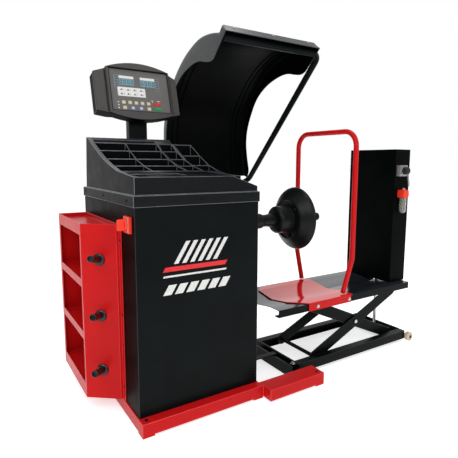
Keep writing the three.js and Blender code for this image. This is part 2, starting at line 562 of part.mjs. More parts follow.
function makeDeck() {
  const { left, right, front, rear, top, web, sheet } = deck;
  const { upper } = sheetSection(top, sheet, front, rear);
  const under = top - sheet;
  const [strip, lip, lipTop] = [91, 34, top - web + sheet];
  const section = [
    [front + lip, top - web], [front + lip, lipTop], [front + sheet, lipTop], [front + sheet, under],
    [strip, under], [lift.middle, under - deck.valley], [mirrorY(strip), under],
    [rear - sheet, under], [rear - sheet, lipTop], [rear - lip, lipTop], [rear - lip, top - web],
    [rear, top - web], ...upper.toReversed(), [front, top - web],
  ];
  const upZ = low.z + spanZ;
  const ear = (y0) => cut(
    block(low.x - 24, low.x + 24, y0, y0 + 6, upZ - 22, under + 0.5),
    round("y", [low.x, 0, upZ], lift.pin + 0.4, 0, 420, 24));
  const rodHole = round("z", [rod.x, rod.y, 0], 15, 300, 400, 24);
  const plate = cut(alongX(section, left, right), rodHole);
  add("deck_plate", union(plate, ear(94), ear(mirrorY(100))), black);

  const [x0, x1, y0, y1] = [column.left, column.right, column.front, column.rear];
  const bottom = top + GAP;
  add("column_shell", cut(
    block(x0, x1, y0, y1, bottom, column.top),
    block(x0 + SHEET, x1 - SHEET, y0 + SHEET, y1 - SHEET, bottom - 1, column.top - SHEET)), black);
  const flange = [bottom, bottom + 6];
  add("lift_cylinder", cut(
    union(round("z", [rod.x, rod.y, 0], 35, flange[0], 700),
      block(rod.x - 36, rod.x + 36, 72, mirrorY(72), ...flange)),
    round("z", [rod.x, rod.y, 0], rod.pistonRadius + 0.5, flange[1] + 6, 690),
    round("z", [rod.x, rod.y, 0], rod.radius + 0.5, 300, 400, 24),
    round("z", [rod.x, rod.y, 0], 4, 680, 705, 16)), steel);
}

// ---------------------------------------------------------------- air valve and filter
function makeValve() {
  const face = column.front - GAP;
  const { x, z } = valve;
  add("valve_block", cut(union(
    block(x - 32, x + 34, 40, face, z - 30, z + 30), round("y", [x, 0, z], 25, 34, 42)),
    round("y", [x, 0, z], 8.3, 30, 50, 20)), steel);
  const grip = [[8, 0], [8, 15], [12, 20], [30, 20], [33.5, 22], [33.5, 0]];
  add("valve_knob", union(turned("y", [x, 0, z], grip, 30),
    round("y", [x, 0, z], 8, 33, 47, 20)), blackPlastic);
  const leverPlan = [[36.5, -21], [45, -20], [60, -78], [55, -88], [47, -84]];
  const lever = alongY(leverPlan.map(([a, b]) => [x + a, z + b]), 40, 46);
  add("valve_lever", union(lever, round("y", [x + 41, 0, z - 25], 6, 38, 56, 16)), steel);
  const chamfered = [[-22, -17], [-17, -22], [17, -22], [22, -17], [22, 17], [17, 22], [-17, 22], [-22, 17]];
  const barb = [[1570, 0], [1570, 7], [1586, 7], [1586, 5], [1600, 5], [1600, 0]];
  const outline = chamfered.map(([a, b]) => [filter.x + a, filter.z + b]);
  add("filter_head", cut(union(
    alongY(outline, 23, face),
    round("z", [filter.x, filter.y, 0], 8, filter.z + 20, filter.z + 33, 16),
    turned("x", [0, filter.y, filter.z - 4], barb, 16)),
    round("z", [filter.x, filter.y, 0], 18.4, filter.z - 25, filter.z - 12, 28)), orange);
  const bowlTop = filter.z - 13;
  add("filter_bowl", turned("z", [filter.x, filter.y, 0], [[748, 0], [748, 5], [752, 13], [765, 18],
    [bowlTop, 18], [bowlTop, 15.5], [766, 15.5], [754.5, 11.5], [751, 4.5], [751, 0]]), clear);
}

// ---------------------------------------------------------------- carriage
function makeCarriage() {
  const { left, right, sheet, handleX, tubeRadius } = carriage;
  const top = deck.top + carriage.lift + sheet;
  const { upper, lower } = sheetSection(top, sheet, 15, 378);
  const whole = alongX([...lower.toReversed(), ...upper.toReversed()], left, right);
  const corners = [
    [[left - 1, 10], [855, 10], [855, 17], [left - 1, 92]],
    [[left - 1, 320], [left + 60, 379], [left + 60, 385], [left - 1, 385]],
  ].map((points) => alongZ(points, 300, 400));
  const flange = block(855, 1140, 15, 18, deck.top - deck.web, top - 1);
  add("carriage_plate", union(cut(whole, ...corners), flange), red);
  const [foot, wide, knee, handleTop] = [160, 212, 550, 1176];
  const mid = lift.middle;
  const path = bentPath([
    v(handleX, mid - foot, top + 6), v(handleX, mid - wide, knee), v(handleX, mid - wide, handleTop),
    v(handleX, mid + wide, handleTop), v(handleX, mid + wide, knee), v(handleX, mid + foot, top + 6),
  ], [60, 75, 75, 60], 4);
  add("carriage_handle", pipe(path, tubeRadius, 2.5), red);
}

makeBase();
makeCabinet();
makeTray();
makeAccessoryBox();
makeSwitch();
makeDisplay();
makeDrive();
makeGuard();
makeLiftBase();
makeScissor();
makeDeck();
makeValve();
makeCarriage();

// ---------------------------------------------------------------- origin at the footprint's centre
const bounds = new THREE.Box3().setFromObject(machine);
machine.position.set(
  -(bounds.min.x + bounds.max.x) / 2, -(bounds.min.y + bounds.max.y) / 2, -bounds.min.z);

export default machine;
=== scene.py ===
"""Looks of the truck wheel balancer: finishes, rounded sheet metal and fine detail around the CAD frame."""

import json
import math

import bmesh
import bpy
from mathutils import Matrix, Vector


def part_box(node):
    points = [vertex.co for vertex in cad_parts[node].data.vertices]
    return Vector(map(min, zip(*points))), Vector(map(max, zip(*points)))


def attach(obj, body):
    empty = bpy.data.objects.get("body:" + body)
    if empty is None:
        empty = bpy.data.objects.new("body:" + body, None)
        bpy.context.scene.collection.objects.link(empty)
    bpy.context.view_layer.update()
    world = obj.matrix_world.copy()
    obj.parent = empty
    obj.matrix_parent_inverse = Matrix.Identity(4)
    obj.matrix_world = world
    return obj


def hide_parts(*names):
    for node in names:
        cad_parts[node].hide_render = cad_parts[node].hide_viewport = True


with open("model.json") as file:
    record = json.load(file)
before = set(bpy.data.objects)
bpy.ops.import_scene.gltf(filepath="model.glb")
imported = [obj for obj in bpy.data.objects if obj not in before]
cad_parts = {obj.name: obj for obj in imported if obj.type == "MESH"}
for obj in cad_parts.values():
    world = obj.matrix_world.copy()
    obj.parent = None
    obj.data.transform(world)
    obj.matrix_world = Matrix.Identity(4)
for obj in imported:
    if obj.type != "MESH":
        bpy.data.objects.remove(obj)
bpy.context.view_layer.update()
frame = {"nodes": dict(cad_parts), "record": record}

# ---------------------------------------------------------------- layout
# Layout millimetres: x = 0 on the cabinet's left face, y = 0 on its front face, z = 0 on the floor.
MM = 0.001
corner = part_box("cabinet_front_shell")[0]
ORIGIN = Vector((corner.x, corner.y, 0.0))
LEFT, FRONT, DOWN = Vector((-1, 0, 0)), Vector((0, -1, 0)), Vector((0, 0, -1))
RIGHT, UP = -LEFT, -DOWN

SPINDLE_AXIS = (0, 200, 744)
SWITCH = (57, 795)  # y and z of the main switch on the cabinet's left face
HEAD, HEAD_TILT = (245, 585, 1345), math.radians(15.7)
VALVE = (1541, 982)  # x and z on the column's front
FILTER = (1551, 43, 855)
HANDLE_X, HANDLE_FRONT, HANDLE_BACK = 1110, -7, 417
GUARD_PIVOT = (893, 890)  # y and z of the guard's hinge
GUARD_TUBE_X = 1080


def at(x, y, z):
    """A layout point in the frame's metres."""
    return ORIGIN + Vector((x, y, z)) * MM


def body_of(node):
    """The body that carries a CAD node."""
    for body, nodes in frame["record"]["behaviour"]["bodies"].items():
        if node in nodes:
            return body
    raise KeyError(node)


SLOT_OF = {s["node"]: s["material_slot"] for s in frame["record"]["subparts"]}

# ---------------------------------------------------------------- materials
GRAIN_DEPTH = 0.0006
WEAR_EDGE = 0.05


def surface(
    name,
    colour,
    roughness,
    metallic=0.0,
    grain=(900.0, 0.12),
    mottle=(9.0, 0.12),
    smears=(18.0, 0.04),
    wear=None,
    specular=0.5,
    stretch=(1.0, 1.0, 1.0),
    tinted=(1.0, 1.0, 1.0),
):
    """A procedural finish: colour mottling, uneven roughness, fine grain and optional scuffed patches.

    Grain, mottle and smears are each a noise scale and a strength. Wear is a colour, a noise scale and the
    noise level above which the colour shows.
    """
    material = bpy.data.materials.new(name)
    material.use_nodes = True
    tree = material.node_tree
    nodes, link = tree.nodes, tree.links.new
    nodes.clear()
    out = nodes.new("ShaderNodeOutputMaterial")
    shader = nodes.new("ShaderNodeBsdfPrincipled")
    link(shader.outputs["BSDF"], out.inputs["Surface"])
    shader.inputs["Metallic"].default_value = metallic
    shader.inputs["Specular IOR Level"].default_value = specular
    shader.inputs["Specular Tint"].default_value = (*tinted, 1.0)
    place = nodes.new("ShaderNodeTexCoord")
    scaled = nodes.new("ShaderNodeMapping")
    scaled.inputs["Scale"].default_value = stretch
    link(place.outputs["Object"], scaled.inputs["Vector"])

    def noise(scale, detail=4.0, rough=0.55):
        n = nodes.new("ShaderNodeTexNoise")
        n.inputs["Scale"].default_value = scale
        n.inputs["Detail"].default_value = detail
        n.inputs["Roughness"].default_value = rough
        link(scaled.outputs["Vector"], n.inputs["Vector"])
        return n.outputs["Fac"]

    def spread(source, low, high, start=0.3, end=0.7):
        m = nodes.new("ShaderNodeMapRange")
        m.inputs["From Min"].default_value = start
        m.inputs["From Max"].default_value = end
        m.inputs["To Min"].default_value = low
        m.inputs["To Max"].default_value = high
        link(source, m.inputs["Value"])
        return m.outputs["Result"]

    def blend(factor, first, second):
        m = nodes.new("ShaderNodeMix")
        m.data_type = "RGBA"
        link(factor, m.inputs["Factor"])
        for socket, value in (("A", first), ("B", second)):
            target = next(i for i in m.inputs if i.name == socket and i.type == "RGBA")
            if isinstance(value, tuple):
                target.default_value = (*value, 1.0)
            else:
                link(value, target)
        return next(o for o in m.outputs if o.type == "RGBA")

    amount = mottle[1]
    dark = tuple(c * (1 - amount) for c in colour)
    light = tuple(min(1.0, c * (1 + amount) + 0.002 * amount) for c in colour)
    tint = blend(spread(noise(mottle[0]), 0.0, 1.0), dark, light)
    rough = spread(noise(smears[0], 5.0, 0.6), roughness - smears[1], roughness + smears[1])
    if wear:
        worn_colour, scale, start = wear
        mask = spread(noise(scale, 9.0, 0.72), 0.0, 1.0, start, start + WEAR_EDGE)
        tint = blend(mask, tint, worn_colour)
    link(tint, shader.inputs["Base Color"])
    link(rough, shader.inputs["Roughness"])
    bump = nodes.new("ShaderNodeBump")
    bump.inputs["Strength"].default_value = grain[1]
    bump.inputs["Distance"].default_value = GRAIN_DEPTH
    link(noise(grain[0], 2.0, 0.5), bump.inputs["Height"])
    link(bump.outputs["Normal"], shader.inputs["Normal"])
    return material


def printed(name, colour, roughness=0.4, mottle=(80, 0.05), specular=0.5):
    """A smooth printed film."""
    return surface(name, colour, roughness, grain=(900, 0.05), mottle=mottle, specular=specular)


FINISHES = {
    "black_paint": surface(
        "black_powder_coat", (0.0024, 0.0038, 0.0041), 0.33, grain=(650, 0.08), mottle=(6, 0.25),
        specular=0.06,
    ),
    "deck_paint": surface(
        "worn_deck_paint", (0.014, 0.017, 0.021), 0.12, grain=(420, 0.02), mottle=(5, 0.5),
        smears=(9, 0.05), wear=((0.06, 0.053, 0.042), 20, 0.7), specular=0.8, stretch=(0.4, 1, 1),
        tinted=(0.82, 0.92, 1.0),
    ),
    "red_paint": surface(
        "red_powder_coat", (0.5, 0.0065, 0.0075), 0.32, grain=(620, 0.05), mottle=(5, 0.05), specular=0.1
    ),
    "tray_plastic": surface(
        "moulded_tray_plastic", (0.0038, 0.0048, 0.0058), 0.32, grain=(820, 0.15), mottle=(12, 0.14),
        specular=0.12,
    ),
    "guard_plastic": surface(
        "guard_plastic", (0.0115, 0.0155, 0.017), 0.28, grain=(500, 0.08), mottle=(5, 0.2), specular=0.42
    ),
    "head_plastic": surface(
        "head_plastic", (0.054, 0.0505, 0.049), 0.5, grain=(1000, 0.25), mottle=(30, 0.06), specular=0.3
    ),
    "keypad_film": surface(
        "keypad_film", (0.115, 0.11, 0.106), 0.4, grain=(1400, 0.06), mottle=(40, 0.04), specular=0.3
    ),
    "red_key": surface("red_key_cap", (0.62, 0.02, 0.025), 0.4, mottle=(60, 0.08), specular=0.25),
    "green_key": surface("green_key_cap", (0.012, 0.27, 0.09), 0.4, mottle=(60, 0.08), specular=0.25),
    "switch_plastic": surface(
        "orange_plastic", (0.78, 0.035, 0.012), 0.3, grain=(900, 0.05), mottle=(20, 0.05), specular=0.3
    ),
    "dark_steel": surface(
        "blackened_steel", (0.0036, 0.0041, 0.0045), 0.35, grain=(500, 0.015), mottle=(16, 0.15),
        smears=(20, 0.02), stretch=(9, 1, 1), specular=0.16,
    ),
    "bright_steel": surface(
        "bright_steel", (0.5, 0.5, 0.51), 0.3, 1.0, grain=(700, 0.1), mottle=(40, 0.12), stretch=(4, 1, 1)
    ),
    "cast_iron": surface("cast_iron", (0.03, 0.031, 0.033), 0.6, 0.4, grain=(300, 0.4), mottle=(20, 0.25)),
    "black_rubber": surface(
        "black_rubber", (0.0045, 0.0045, 0.005), 0.3, grain=(900, 0.12), mottle=(30, 0.15), specular=0.5
    ),
    "nylon": surface("nylon", (0.55, 0.48, 0.35), 0.45, grain=(500, 0.15), mottle=(45, 0.16), specular=0.3),
    "valve_metal": surface(
        "machined_aluminium", (0.42, 0.42, 0.43), 0.32, 0.9, grain=(800, 0.12), mottle=(60, 0.2)
    ),
    "knob_plastic": surface(
        "knob_plastic", (0.005, 0.005, 0.0055), 0.3, grain=(900, 0.15), mottle=(40, 0.15), specular=0.35
    ),
    "circuit_board": surface("circuit_board", (0.02, 0.13, 0.05), 0.45, mottle=(90, 0.25)),
}

# Rounded edges take finishes of their own. The lighter tray, black and red edges are painted highlights.
EDGES = {
    "tray_plastic": surface(
        "tray_edge_highlight", (0.085, 0.09, 0.1), 0.33, grain=(820, 0.15), mottle=(40, 0.25), specular=0.5
    ),
    "black_paint": surface(
        "black_edge_highlight", (0.016, 0.018, 0.02), 0.34, grain=(650, 0.1), mottle=(30, 0.3), specular=0.35
    ),
    "red_paint": surface(
        "red_edge_highlight", (0.6, 0.014, 0.016), 0.3, grain=(620, 0.05), mottle=(20, 0.08), specular=0.4
    ),
    "head_plastic": surface(
        "head_edge", (0.014, 0.0135, 0.013), 0.4, grain=(900, 0.1), mottle=(30, 0.2), specular=0.3
    ),
}

# Finishes for single faces or pieces. The shaded coat, the guard's inside and the tray's pocket and side
# finishes are painted shade; the tray's rim finish is a painted highlight.
HEAD_BACK = surface(
    "head_back_plastic", (0.0018, 0.0026, 0.0032), 0.45, grain=(1000, 0.25), mottle=(30, 0.1), specular=0.02
)
GLOSSY_RED = surface(
    "glossy_carriage_red", (0.66, 0.012, 0.014), 0.1, grain=(300, 0.01), mottle=(5, 0.06), smears=(8, 0.03),
    specular=0.8,
)
# Painted shade: a darker, duller copy of the black powder coat for the cabinet's and column's shaded sides.
SHADED_PAINT = surface(
    "shaded_powder_coat", (0.0009, 0.0015, 0.0016), 0.4, grain=(650, 0.08), mottle=(6, 0.25), specular=0.02
)
# Painted shade: a darker, duller copy of the guard plastic for the guard's inside.
GUARD_INSIDE_SHADE = surface(
    "guard_inside_shade", (0.0006, 0.001, 0.001), 0.38, grain=(500, 0.06), mottle=(5, 0.2), specular=0.035
)
# Painted light on the tray: highlights on the rims, shade in the pockets and on the left side.
TRAY_RIM_HIGHLIGHT = surface(
    "tray_rim_highlight", (0.03, 0.032, 0.038), 0.3, grain=(820, 0.2), mottle=(25, 0.3), specular=0.45
)
TRAY_POCKET_SHADE = surface(
    "tray_pocket_shade", (0.0016, 0.002, 0.0024), 0.5, grain=(820, 0.15), mottle=(12, 0.2), specular=0.03
)
TRAY_SIDE_SHADE = surface(
    "tray_side_shade", (0.0016, 0.002, 0.0026), 0.4, grain=(820, 0.15), mottle=(12, 0.14), specular=0.04
)
PRINT_WHITE = printed("white_print", (0.62, 0.62, 0.6))
PRINT_DARK = printed("dark_print", (0.03, 0.03, 0.03), 0.45, (80, 0.1))
PRINT_GREY = printed("grey_label", (0.33, 0.31, 0.29), 0.42, (70, 0.1))
KEY_YELLOW = printed("yellow_key_print", (0.42, 0.35, 0.17), 0.42, (150, 0.1))
KEY_BLUE = printed("blue_key_print", (0.1, 0.2, 0.45), 0.42, (150, 0.1))
KEY_FACE = printed("key_face_print", (0.5, 0.5, 0.46), 0.42, (150, 0.1))
MARK_BLUE = printed("dim_marks", (0.045, 0.07, 0.1))
MARK_STRIP = printed("mark_strip", (0.16, 0.17, 0.185))
# Dark lines: painted shadow in grooves and recesses, and the side panel's seam.
SEAM_AND_SHADOW_LINE = printed("groove_shadow", (0.006, 0.006, 0.006), 0.6, (80, 0.1), 0.1)
WINDOW_BLUE = surface("display_window", (0.15, 0.27, 0.32), 0.2, grain=(900, 0.02), mottle=(120, 0.1))
WINDOW_DIGIT = surface("display_digit", (0.035, 0.08, 0.1), 0.2, grain=(900, 0.02), mottle=(150, 0.1))


def clear_plastic():
    """The filter bowl: slightly hazy and yellowed."""
    material = bpy.data.materials.new("clear_bowl_plastic")
    material.use_nodes = True
    nodes, link = material.node_tree.nodes, material.node_tree.links.new
    shader = nodes["Principled BSDF"]
    shader.inputs["Transmission Weight"].default_value = 0.85
    shader.inputs["IOR"].default_value = 1.3
    haze = nodes.new("ShaderNodeTexNoise")
    haze.inputs["Scale"].default_value = 60
    ramp = nodes.new("ShaderNodeValToRGB")
    ramp.color_ramp.elements[0].color = (0.62, 0.64, 0.58, 1)
    ramp.color_ramp.elements[1].color = (0.78, 0.8, 0.74, 1)
    link(haze.outputs["Fac"], ramp.inputs["Fac"])
    link(ramp.outputs["Color"], shader.inputs["Base Color"])
    spread = nodes.new("ShaderNodeMapRange")
    spread.inputs["To Min"].default_value = 0.04
    spread.inputs["To Max"].default_value = 0.14
    link(haze.outputs["Fac"], spread.inputs["Value"])
    link(spread.outputs["Result"], shader.inputs["Roughness"])
    return material


FINISHES["clear_plastic"] = clear_plastic()

# ---------------------------------------------------------------- mesh tools
WELD = 2e-5  # metres between corners that are the same corner
FLAT = 0.6  # degrees between faces that are the same face
SQUARE_ON = 0.9  # how far a normal has to point along a direction for the face to look that way
NOT_AWAY = -0.5  # and how far for it only not to look the other way


def shade(bm, angle):
    """Smooth faces, with edges sharper than the angle marked sharp."""
    limit = math.radians(angle)
    for face in bm.faces:
        face.smooth = True
    for edge in bm.edges:
        if len(edge.link_faces) == 2:
            edge.smooth = edge.calc_face_angle(0.0) < limit


def shells(bm):
    """The connected groups of faces, in the order of their first faces."""
    reached = set()
    for seed in bm.faces:
        if seed in reached:
            continue
        reached.add(seed)
        group = [seed]
        for face in group:
            for edge in face.edges:
                fresh = [other for other in edge.link_faces if other not in reached]
                reached.update(fresh)
                group += fresh
        yield group


def enclosed(faces):
    """Six times the signed volume a closed group of faces encloses."""
    total = 0.0
    for face in faces:
        first = face.verts[0].co
        for second, third in zip(face.verts[1:], face.verts[2:]):
            total += first.dot(second.co.cross(third.co))
    return total


def face_outward(bm):
    """Turns every closed group of faces to look outward."""
    bmesh.ops.recalc_face_normals(bm, faces=bm.faces)
    inverted = [face for group in shells(bm) if enclosed(group) < 0 for face in group]
    bmesh.ops.reverse_faces(bm, faces=inverted)


def to_piece(name, bm, body, slot, material=None, sharp=38, weighted=True, replaces=()):
    """Makes the mesh a piece that rides on a body and stands in for the CAD nodes it replaces."""
    face_outward(bm)
    shade(bm, sharp)
    mesh = bpy.data.meshes.new(name)
    bm.to_mesh(mesh)
    bm.free()
    piece = bpy.data.objects.new(name, mesh)
    bpy.context.scene.collection.objects.link(piece)
    piece.data.materials.append(material or FINISHES[slot])
    if weighted:
        modifier = piece.modifiers.new("weighted_normals", "WEIGHTED_NORMAL")
        modifier.keep_sharp = True
    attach(piece, body)
    if replaces:
        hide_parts(*replaces)
    return piece


def round_edges(bm, width, segments, angle, material_index):
    """Rounds every edge sharper than the angle; the new faces take the material index."""
    limit = math.radians(angle)
    edges = [e for e in bm.edges if len(e.link_faces) == 2 and e.calc_face_angle(0.0) > limit]
    made = bmesh.ops.bevel(
        bm, geom=edges, offset=width, offset_type="OFFSET", segments=segments, profile=0.5,
        affect="EDGES", clamp_overlap=False,
    )
    for face in made["faces"]:
        face.material_index = material_index


def dressed(node, width, segments=2, angle=30, material=None):
    """The CAD node's own shape with its edges rounded, in the slot's edge finish where it has one; the
    lighter edge finishes are painted highlights.
    """
    bm = bmesh.new()
    bm.from_mesh(frame["nodes"][node].data)
    for layers in (bm.loops.layers.float_vector, bm.loops.layers.uv):
        for layer in list(layers.values()):
            layers.remove(layer)
    bmesh.ops.remove_doubles(bm, verts=bm.verts, dist=WELD)
    bmesh.ops.dissolve_limit(bm, angle_limit=math.radians(FLAT), verts=bm.verts, edges=bm.edges)
    slot = SLOT_OF[node]
    round_edges(bm, width * MM, segments, angle, 1 if slot in EDGES else 0)
    piece = to_piece(node + "_finish", bm, body_of(node), slot, material, replaces=(node,))
    if slot in EDGES:
        piece.data.materials.append(EDGES[slot])
    return piece


def repaint(piece, material, direction, limit):
    """Gives another finish to the faces whose normal points along a direction by more than the limit."""
    piece.data.materials.append(material)
    for face in piece.data.polygons:
        if face.normal.dot(direction) > limit:
            face.material_index = len(piece.data.materials) - 1


def grid_faces(bm, rows, closed=False, cap=False):
    """Quads between rows of points; each row is a list of positions."""
    made = [[bm.verts.new(p) for p in row] for row in rows]
    count = len(made[0])
    for first, second in zip(made, made[1:]):
        for i in range(count if closed else count - 1):
            j = (i + 1) % count
            bm.faces.new((first[i], first[j], second[j], second[i]))
    if cap:
        bm.faces.new(made[0][::-1])
        bm.faces.new(made[-1])
    return made


AXES = {"x": RIGHT, "y": -FRONT, "z": UP}


def ring(centre, side, other, radius, count):
    """Points evenly spaced round a circle that two unit vectors span."""
    turns = [2 * math.pi * k / count for k in range(count)]
    return [centre + (side * math.cos(a) + other * math.sin(a)) * radius for a in turns]


def lathe_into(bm, along, centre, profile, segments=72):
    """Revolves (distance, radius) points about an axis through a layout point, closed at both ends."""
    side = along.orthogonal().normalized()
    other = along.cross(side)
    rows = [
        ring(at(*centre) + along * (distance * MM), side, other, radius * MM, segments)
        for distance, radius in profile
    ]
    grid_faces(bm, rows, closed=True, cap=True)


def lathe(name, axis, centre, profile, body, slot, segments=72, material=None, replaces=()):
    """One turned piece about an axis named x, y or z."""
    bm = bmesh.new()
    lathe_into(bm, AXES[axis], centre, profile, segments)
    to_piece(name, bm, body, slot, material, replaces=replaces)


def eased(profile, radius=1.5, steps=3):
    """The profile with each inner corner rounded."""
    points = [Vector(p) for p in profile]
    out = [points[0]]
    for before, corner_point, after in zip(points, points[1:], points[2:]):
        a, b = before - corner_point, after - corner_point
        r = min(radius, a.length * 0.45, b.length * 0.45)
        start, end = corner_point + a.normalized() * r, corner_point + b.normalized() * r
        for k in range(steps + 1):
            t = k / steps
            out.append(start.lerp(corner_point, t).lerp(corner_point.lerp(end, t), t))
    out.append(points[-1])
    return [tuple(p) for p in out]


def bent(corners, radii, steps=12):
    """The route through the corners, with each inner corner an arc of its own radius."""
    points = [Vector(corners[0])]
    for i in range(1, len(corners) - 1):
        before, middle, after = (Vector(corners[i + k]) for k in (-1, 0, 1))
        a, b = (before - middle).normalized(), (after - middle).normalized()
        half = a.angle(b) / 2
        radius = radii[i - 1]
        centre = middle + (a + b).normalized() * (radius / math.sin(half))
        start = middle + a * (radius / math.tan(half)) - centre
        end = middle + b * (radius / math.tan(half)) - centre
        sweep = start.angle(end)
        for k in range(steps + 1):
            t = k / steps
            points.append(
                centre + start * (math.sin((1 - t) * sweep) / math.sin(sweep))
                + end * (math.sin(t * sweep) / math.sin(sweep))
            )
    points.append(Vector(corners[-1]))
    return points


def tube_into(bm, points, radius, sides=28):
    """A tube along layout points, with its ring carried along without twist."""
    places = [at(*p) for p in points]
    normal = (places[1] - places[0]).orthogonal().normalized()
    rows = []
    for i, place in enumerate(places):
        ahead = (places[min(i + 1, len(places) - 1)] - places[max(i - 1, 0)]).normalized()
        normal = (normal - ahead * normal.dot(ahead)).normalized()
        rows.append(ring(place, normal, ahead.cross(normal), radius * MM, sides))
    grid_faces(bm, rows, closed=True, cap=True)


def prism_into(bm, frame_matrix, outline, depth):
    """An outline of (a, b) millimetres raised along the frame's third axis."""
    rows = [
        [frame_matrix @ Vector((a * MM, b * MM, h * MM)) for a, b in outline] for h in (0.0, depth)
    ]
    grid_faces(bm, rows, closed=True, cap=True)


def rounded_rectangle(width, height, radius, steps=4):
    """An outline centred on (0, 0)."""
    points = []
    for quarter, (across, upward) in enumerate(((1, 1), (-1, 1), (-1, -1), (1, -1))):
        cx, cy = across * (width / 2 - radius), upward * (height / 2 - radius)
        for k in range(steps + 1):
            a = math.pi / 2 * (quarter + k / steps)
            points.append((cx + radius * math.cos(a), cy + radius * math.sin(a)))
    return points


def facing(place, right, up):
    """A frame with its origin at a layout point, its first axis right and its second axis up."""
    right, up = Vector(right).normalized(), Vector(up).normalized()
    out = right.cross(up)
    matrix = Matrix((right, up, out)).transposed().to_4x4()
    matrix.translation = at(*place)
    return matrix


def screw_into(bm, place, normal, radius, height):
    """A low dome with a socket."""
    lathe_into(bm, normal, place, [
        (-0.4, radius * 0.98), (height * 0.45, radius), (height * 0.85, radius * 0.82),
        (height, radius * 0.55), (height * 0.98, radius * 0.42), (height * 0.35, radius * 0.4)], 20)


def bolt_into(bm, place, normal, radius, height):
    """A hexagon head on a washer."""
    lathe_into(bm, normal, place, [(-0.3, radius * 1.45), (1.2, radius * 1.45), (1.3, radius * 0.9)], 28)
    lathe_into(bm, normal, place, [(1.0, radius), (height * 0.85, radius), (height, radius * 0.84)], 6)


def fixings(name, shape_into, places, normal, radius, height, body, slot, material=None):
    """One piece of equal screws or bolts standing on a surface."""
    bm = bmesh.new()
    for place in places:
        shape_into(bm, place, normal, radius, height)
    to_piece(name, bm, body, slot, material, 30)


# ---------------------------------------------------------------- camera, light and floor
scene = bpy.context.scene
camera_data = bpy.data.cameras.new("camera")
camera = bpy.data.objects.new("camera", camera_data)
scene.collection.objects.link(camera)
scene.camera = camera
# The photograph's viewpoint, solved from the machine's straight edges.
CAMERA_PLACE = (-533.72, -1506.34, 1025.53)
camera_data.sensor_width = 36.0
camera_data.lens = 34.66376
camera_data.shift_x, camera_data.shift_y = -0.0240175, -0.0196507
camera_data.clip_start = 0.05
YAW, PITCH, ROLL = (math.radians(a) for a in (33.083, 7.511, 0.305))
forward = Vector((math.sin(YAW) * math.cos(PITCH), math.cos(YAW) * math.cos(PITCH), -math.sin(PITCH)))
level = Vector((math.cos(YAW), -math.sin(YAW), 0))
above = level.cross(forward)
right_axis = level * math.cos(ROLL) + above * math.sin(ROLL)
up_axis = above * math.cos(ROLL) - level * math.sin(ROLL)
turn = Matrix((right_axis, up_axis, -forward)).transposed().to_4x4()
turn.translation = at(*CAMERA_PLACE)
camera.matrix_world = turn

FLOOR_REACH = 30.0
FLOOR_DROP = 0.0005
FLOOR_GLOW = 0.62
floor_mesh = bpy.data.meshes.new("floor")
floor_corners = [(x * FLOOR_REACH, y * FLOOR_REACH, 0) for x, y in ((-1, -1), (1, -1), (1, 1), (-1, 1))]
floor_mesh.from_pydata(floor_corners, [], [(0, 1, 2, 3)])
floor = bpy.data.objects.new("floor", floor_mesh)
scene.collection.objects.link(floor)
floor.location.z = -FLOOR_DROP
floor_finish = surface(
    "studio_floor", (0.8, 0.8, 0.8), 0.6, grain=(200, 0.02), mottle=(2, 0.01), specular=0.1
)
floor_shader = floor_finish.node_tree.nodes["Principled BSDF"]
floor_shader.inputs["Emission Color"].default_value = (1, 1, 1, 1)
floor_shader.inputs["Emission Strength"].default_value = FLOOR_GLOW
floor.data.materials.append(floor_finish)

scene.view_settings.view_transform = "Standard"
world = bpy.data.worlds.new("studio")
scene.world = world
world.use_nodes = True
world_nodes, world_link = world.node_tree.nodes, world.node_tree.links.new
background = world_nodes["Background"]
background.inputs["Strength"].default_value = 0.5
direction = world_nodes.new("ShaderNodeTexCoord")


def world_node(node_type, **settings):
    node = world_nodes.new(node_type)
    for key, value in settings.items():
        setattr(node, key, value)
    return node


def along(vector):
    """How far the looked-at direction of the sky points along the vector."""
    dot = world_node("ShaderNodeVectorMath", operation="DOT_PRODUCT")
    world_link(direction.outputs["Generated"], dot.inputs[0])
    dot.inputs[1].default_value = vector
    return dot.outputs["Value"]


def remapped(source, span, result):
    """Eases a value across a span into a result span."""
    node = world_node("ShaderNodeMapRange", interpolation_type="SMOOTHSTEP")
    node.inputs["From Min"].default_value, node.inputs["From Max"].default_value = span
    node.inputs["To Min"].default_value, node.inputs["To Max"].default_value = result
    world_link(source, node.inputs["Value"])
    return node.outputs["Result"]


# Surfaces are lit by a bright backdrop behind the machine, a dim room in front and a lit ceiling.
# The camera sees plain white.
BACKDROP = (0.545, 0.838, 0.0)
ROOM_DIM, ROOM_BRIGHT, SKY_BRIGHT = 0.13, 2.0, 1.2
back = remapped(along(BACKDROP), (-0.05, 0.55), (ROOM_DIM, ROOM_BRIGHT))
overhead = remapped(along((0, 0, 1)), (0.25, 0.95), (0.0, 1.0))
brightness = world_node("ShaderNodeMix", data_type="FLOAT")
world_link(overhead, brightness.inputs["Factor"])
world_link(back, brightness.inputs["A"])
brightness.inputs["B"].default_value = SKY_BRIGHT
reflected = world_node("ShaderNodeCombineColor")
for channel in ("Red", "Green", "Blue"):
    world_link(brightness.outputs["Result"], reflected.inputs[channel])
rays = world_node("ShaderNodeLightPath")
pick = world_node("ShaderNodeMix", data_type="RGBA")
pick_colours = {socket.name: socket for socket in pick.inputs if socket.type == "RGBA"}
world_link(rays.outputs["Is Camera Ray"], pick.inputs["Factor"])
world_link(reflected.outputs["Color"], pick_colours["A"])
pick_colours["B"].default_value = (2, 2, 2, 1)
world_link(next(o for o in pick.outputs if o.type == "RGBA"), background.inputs["Color"])


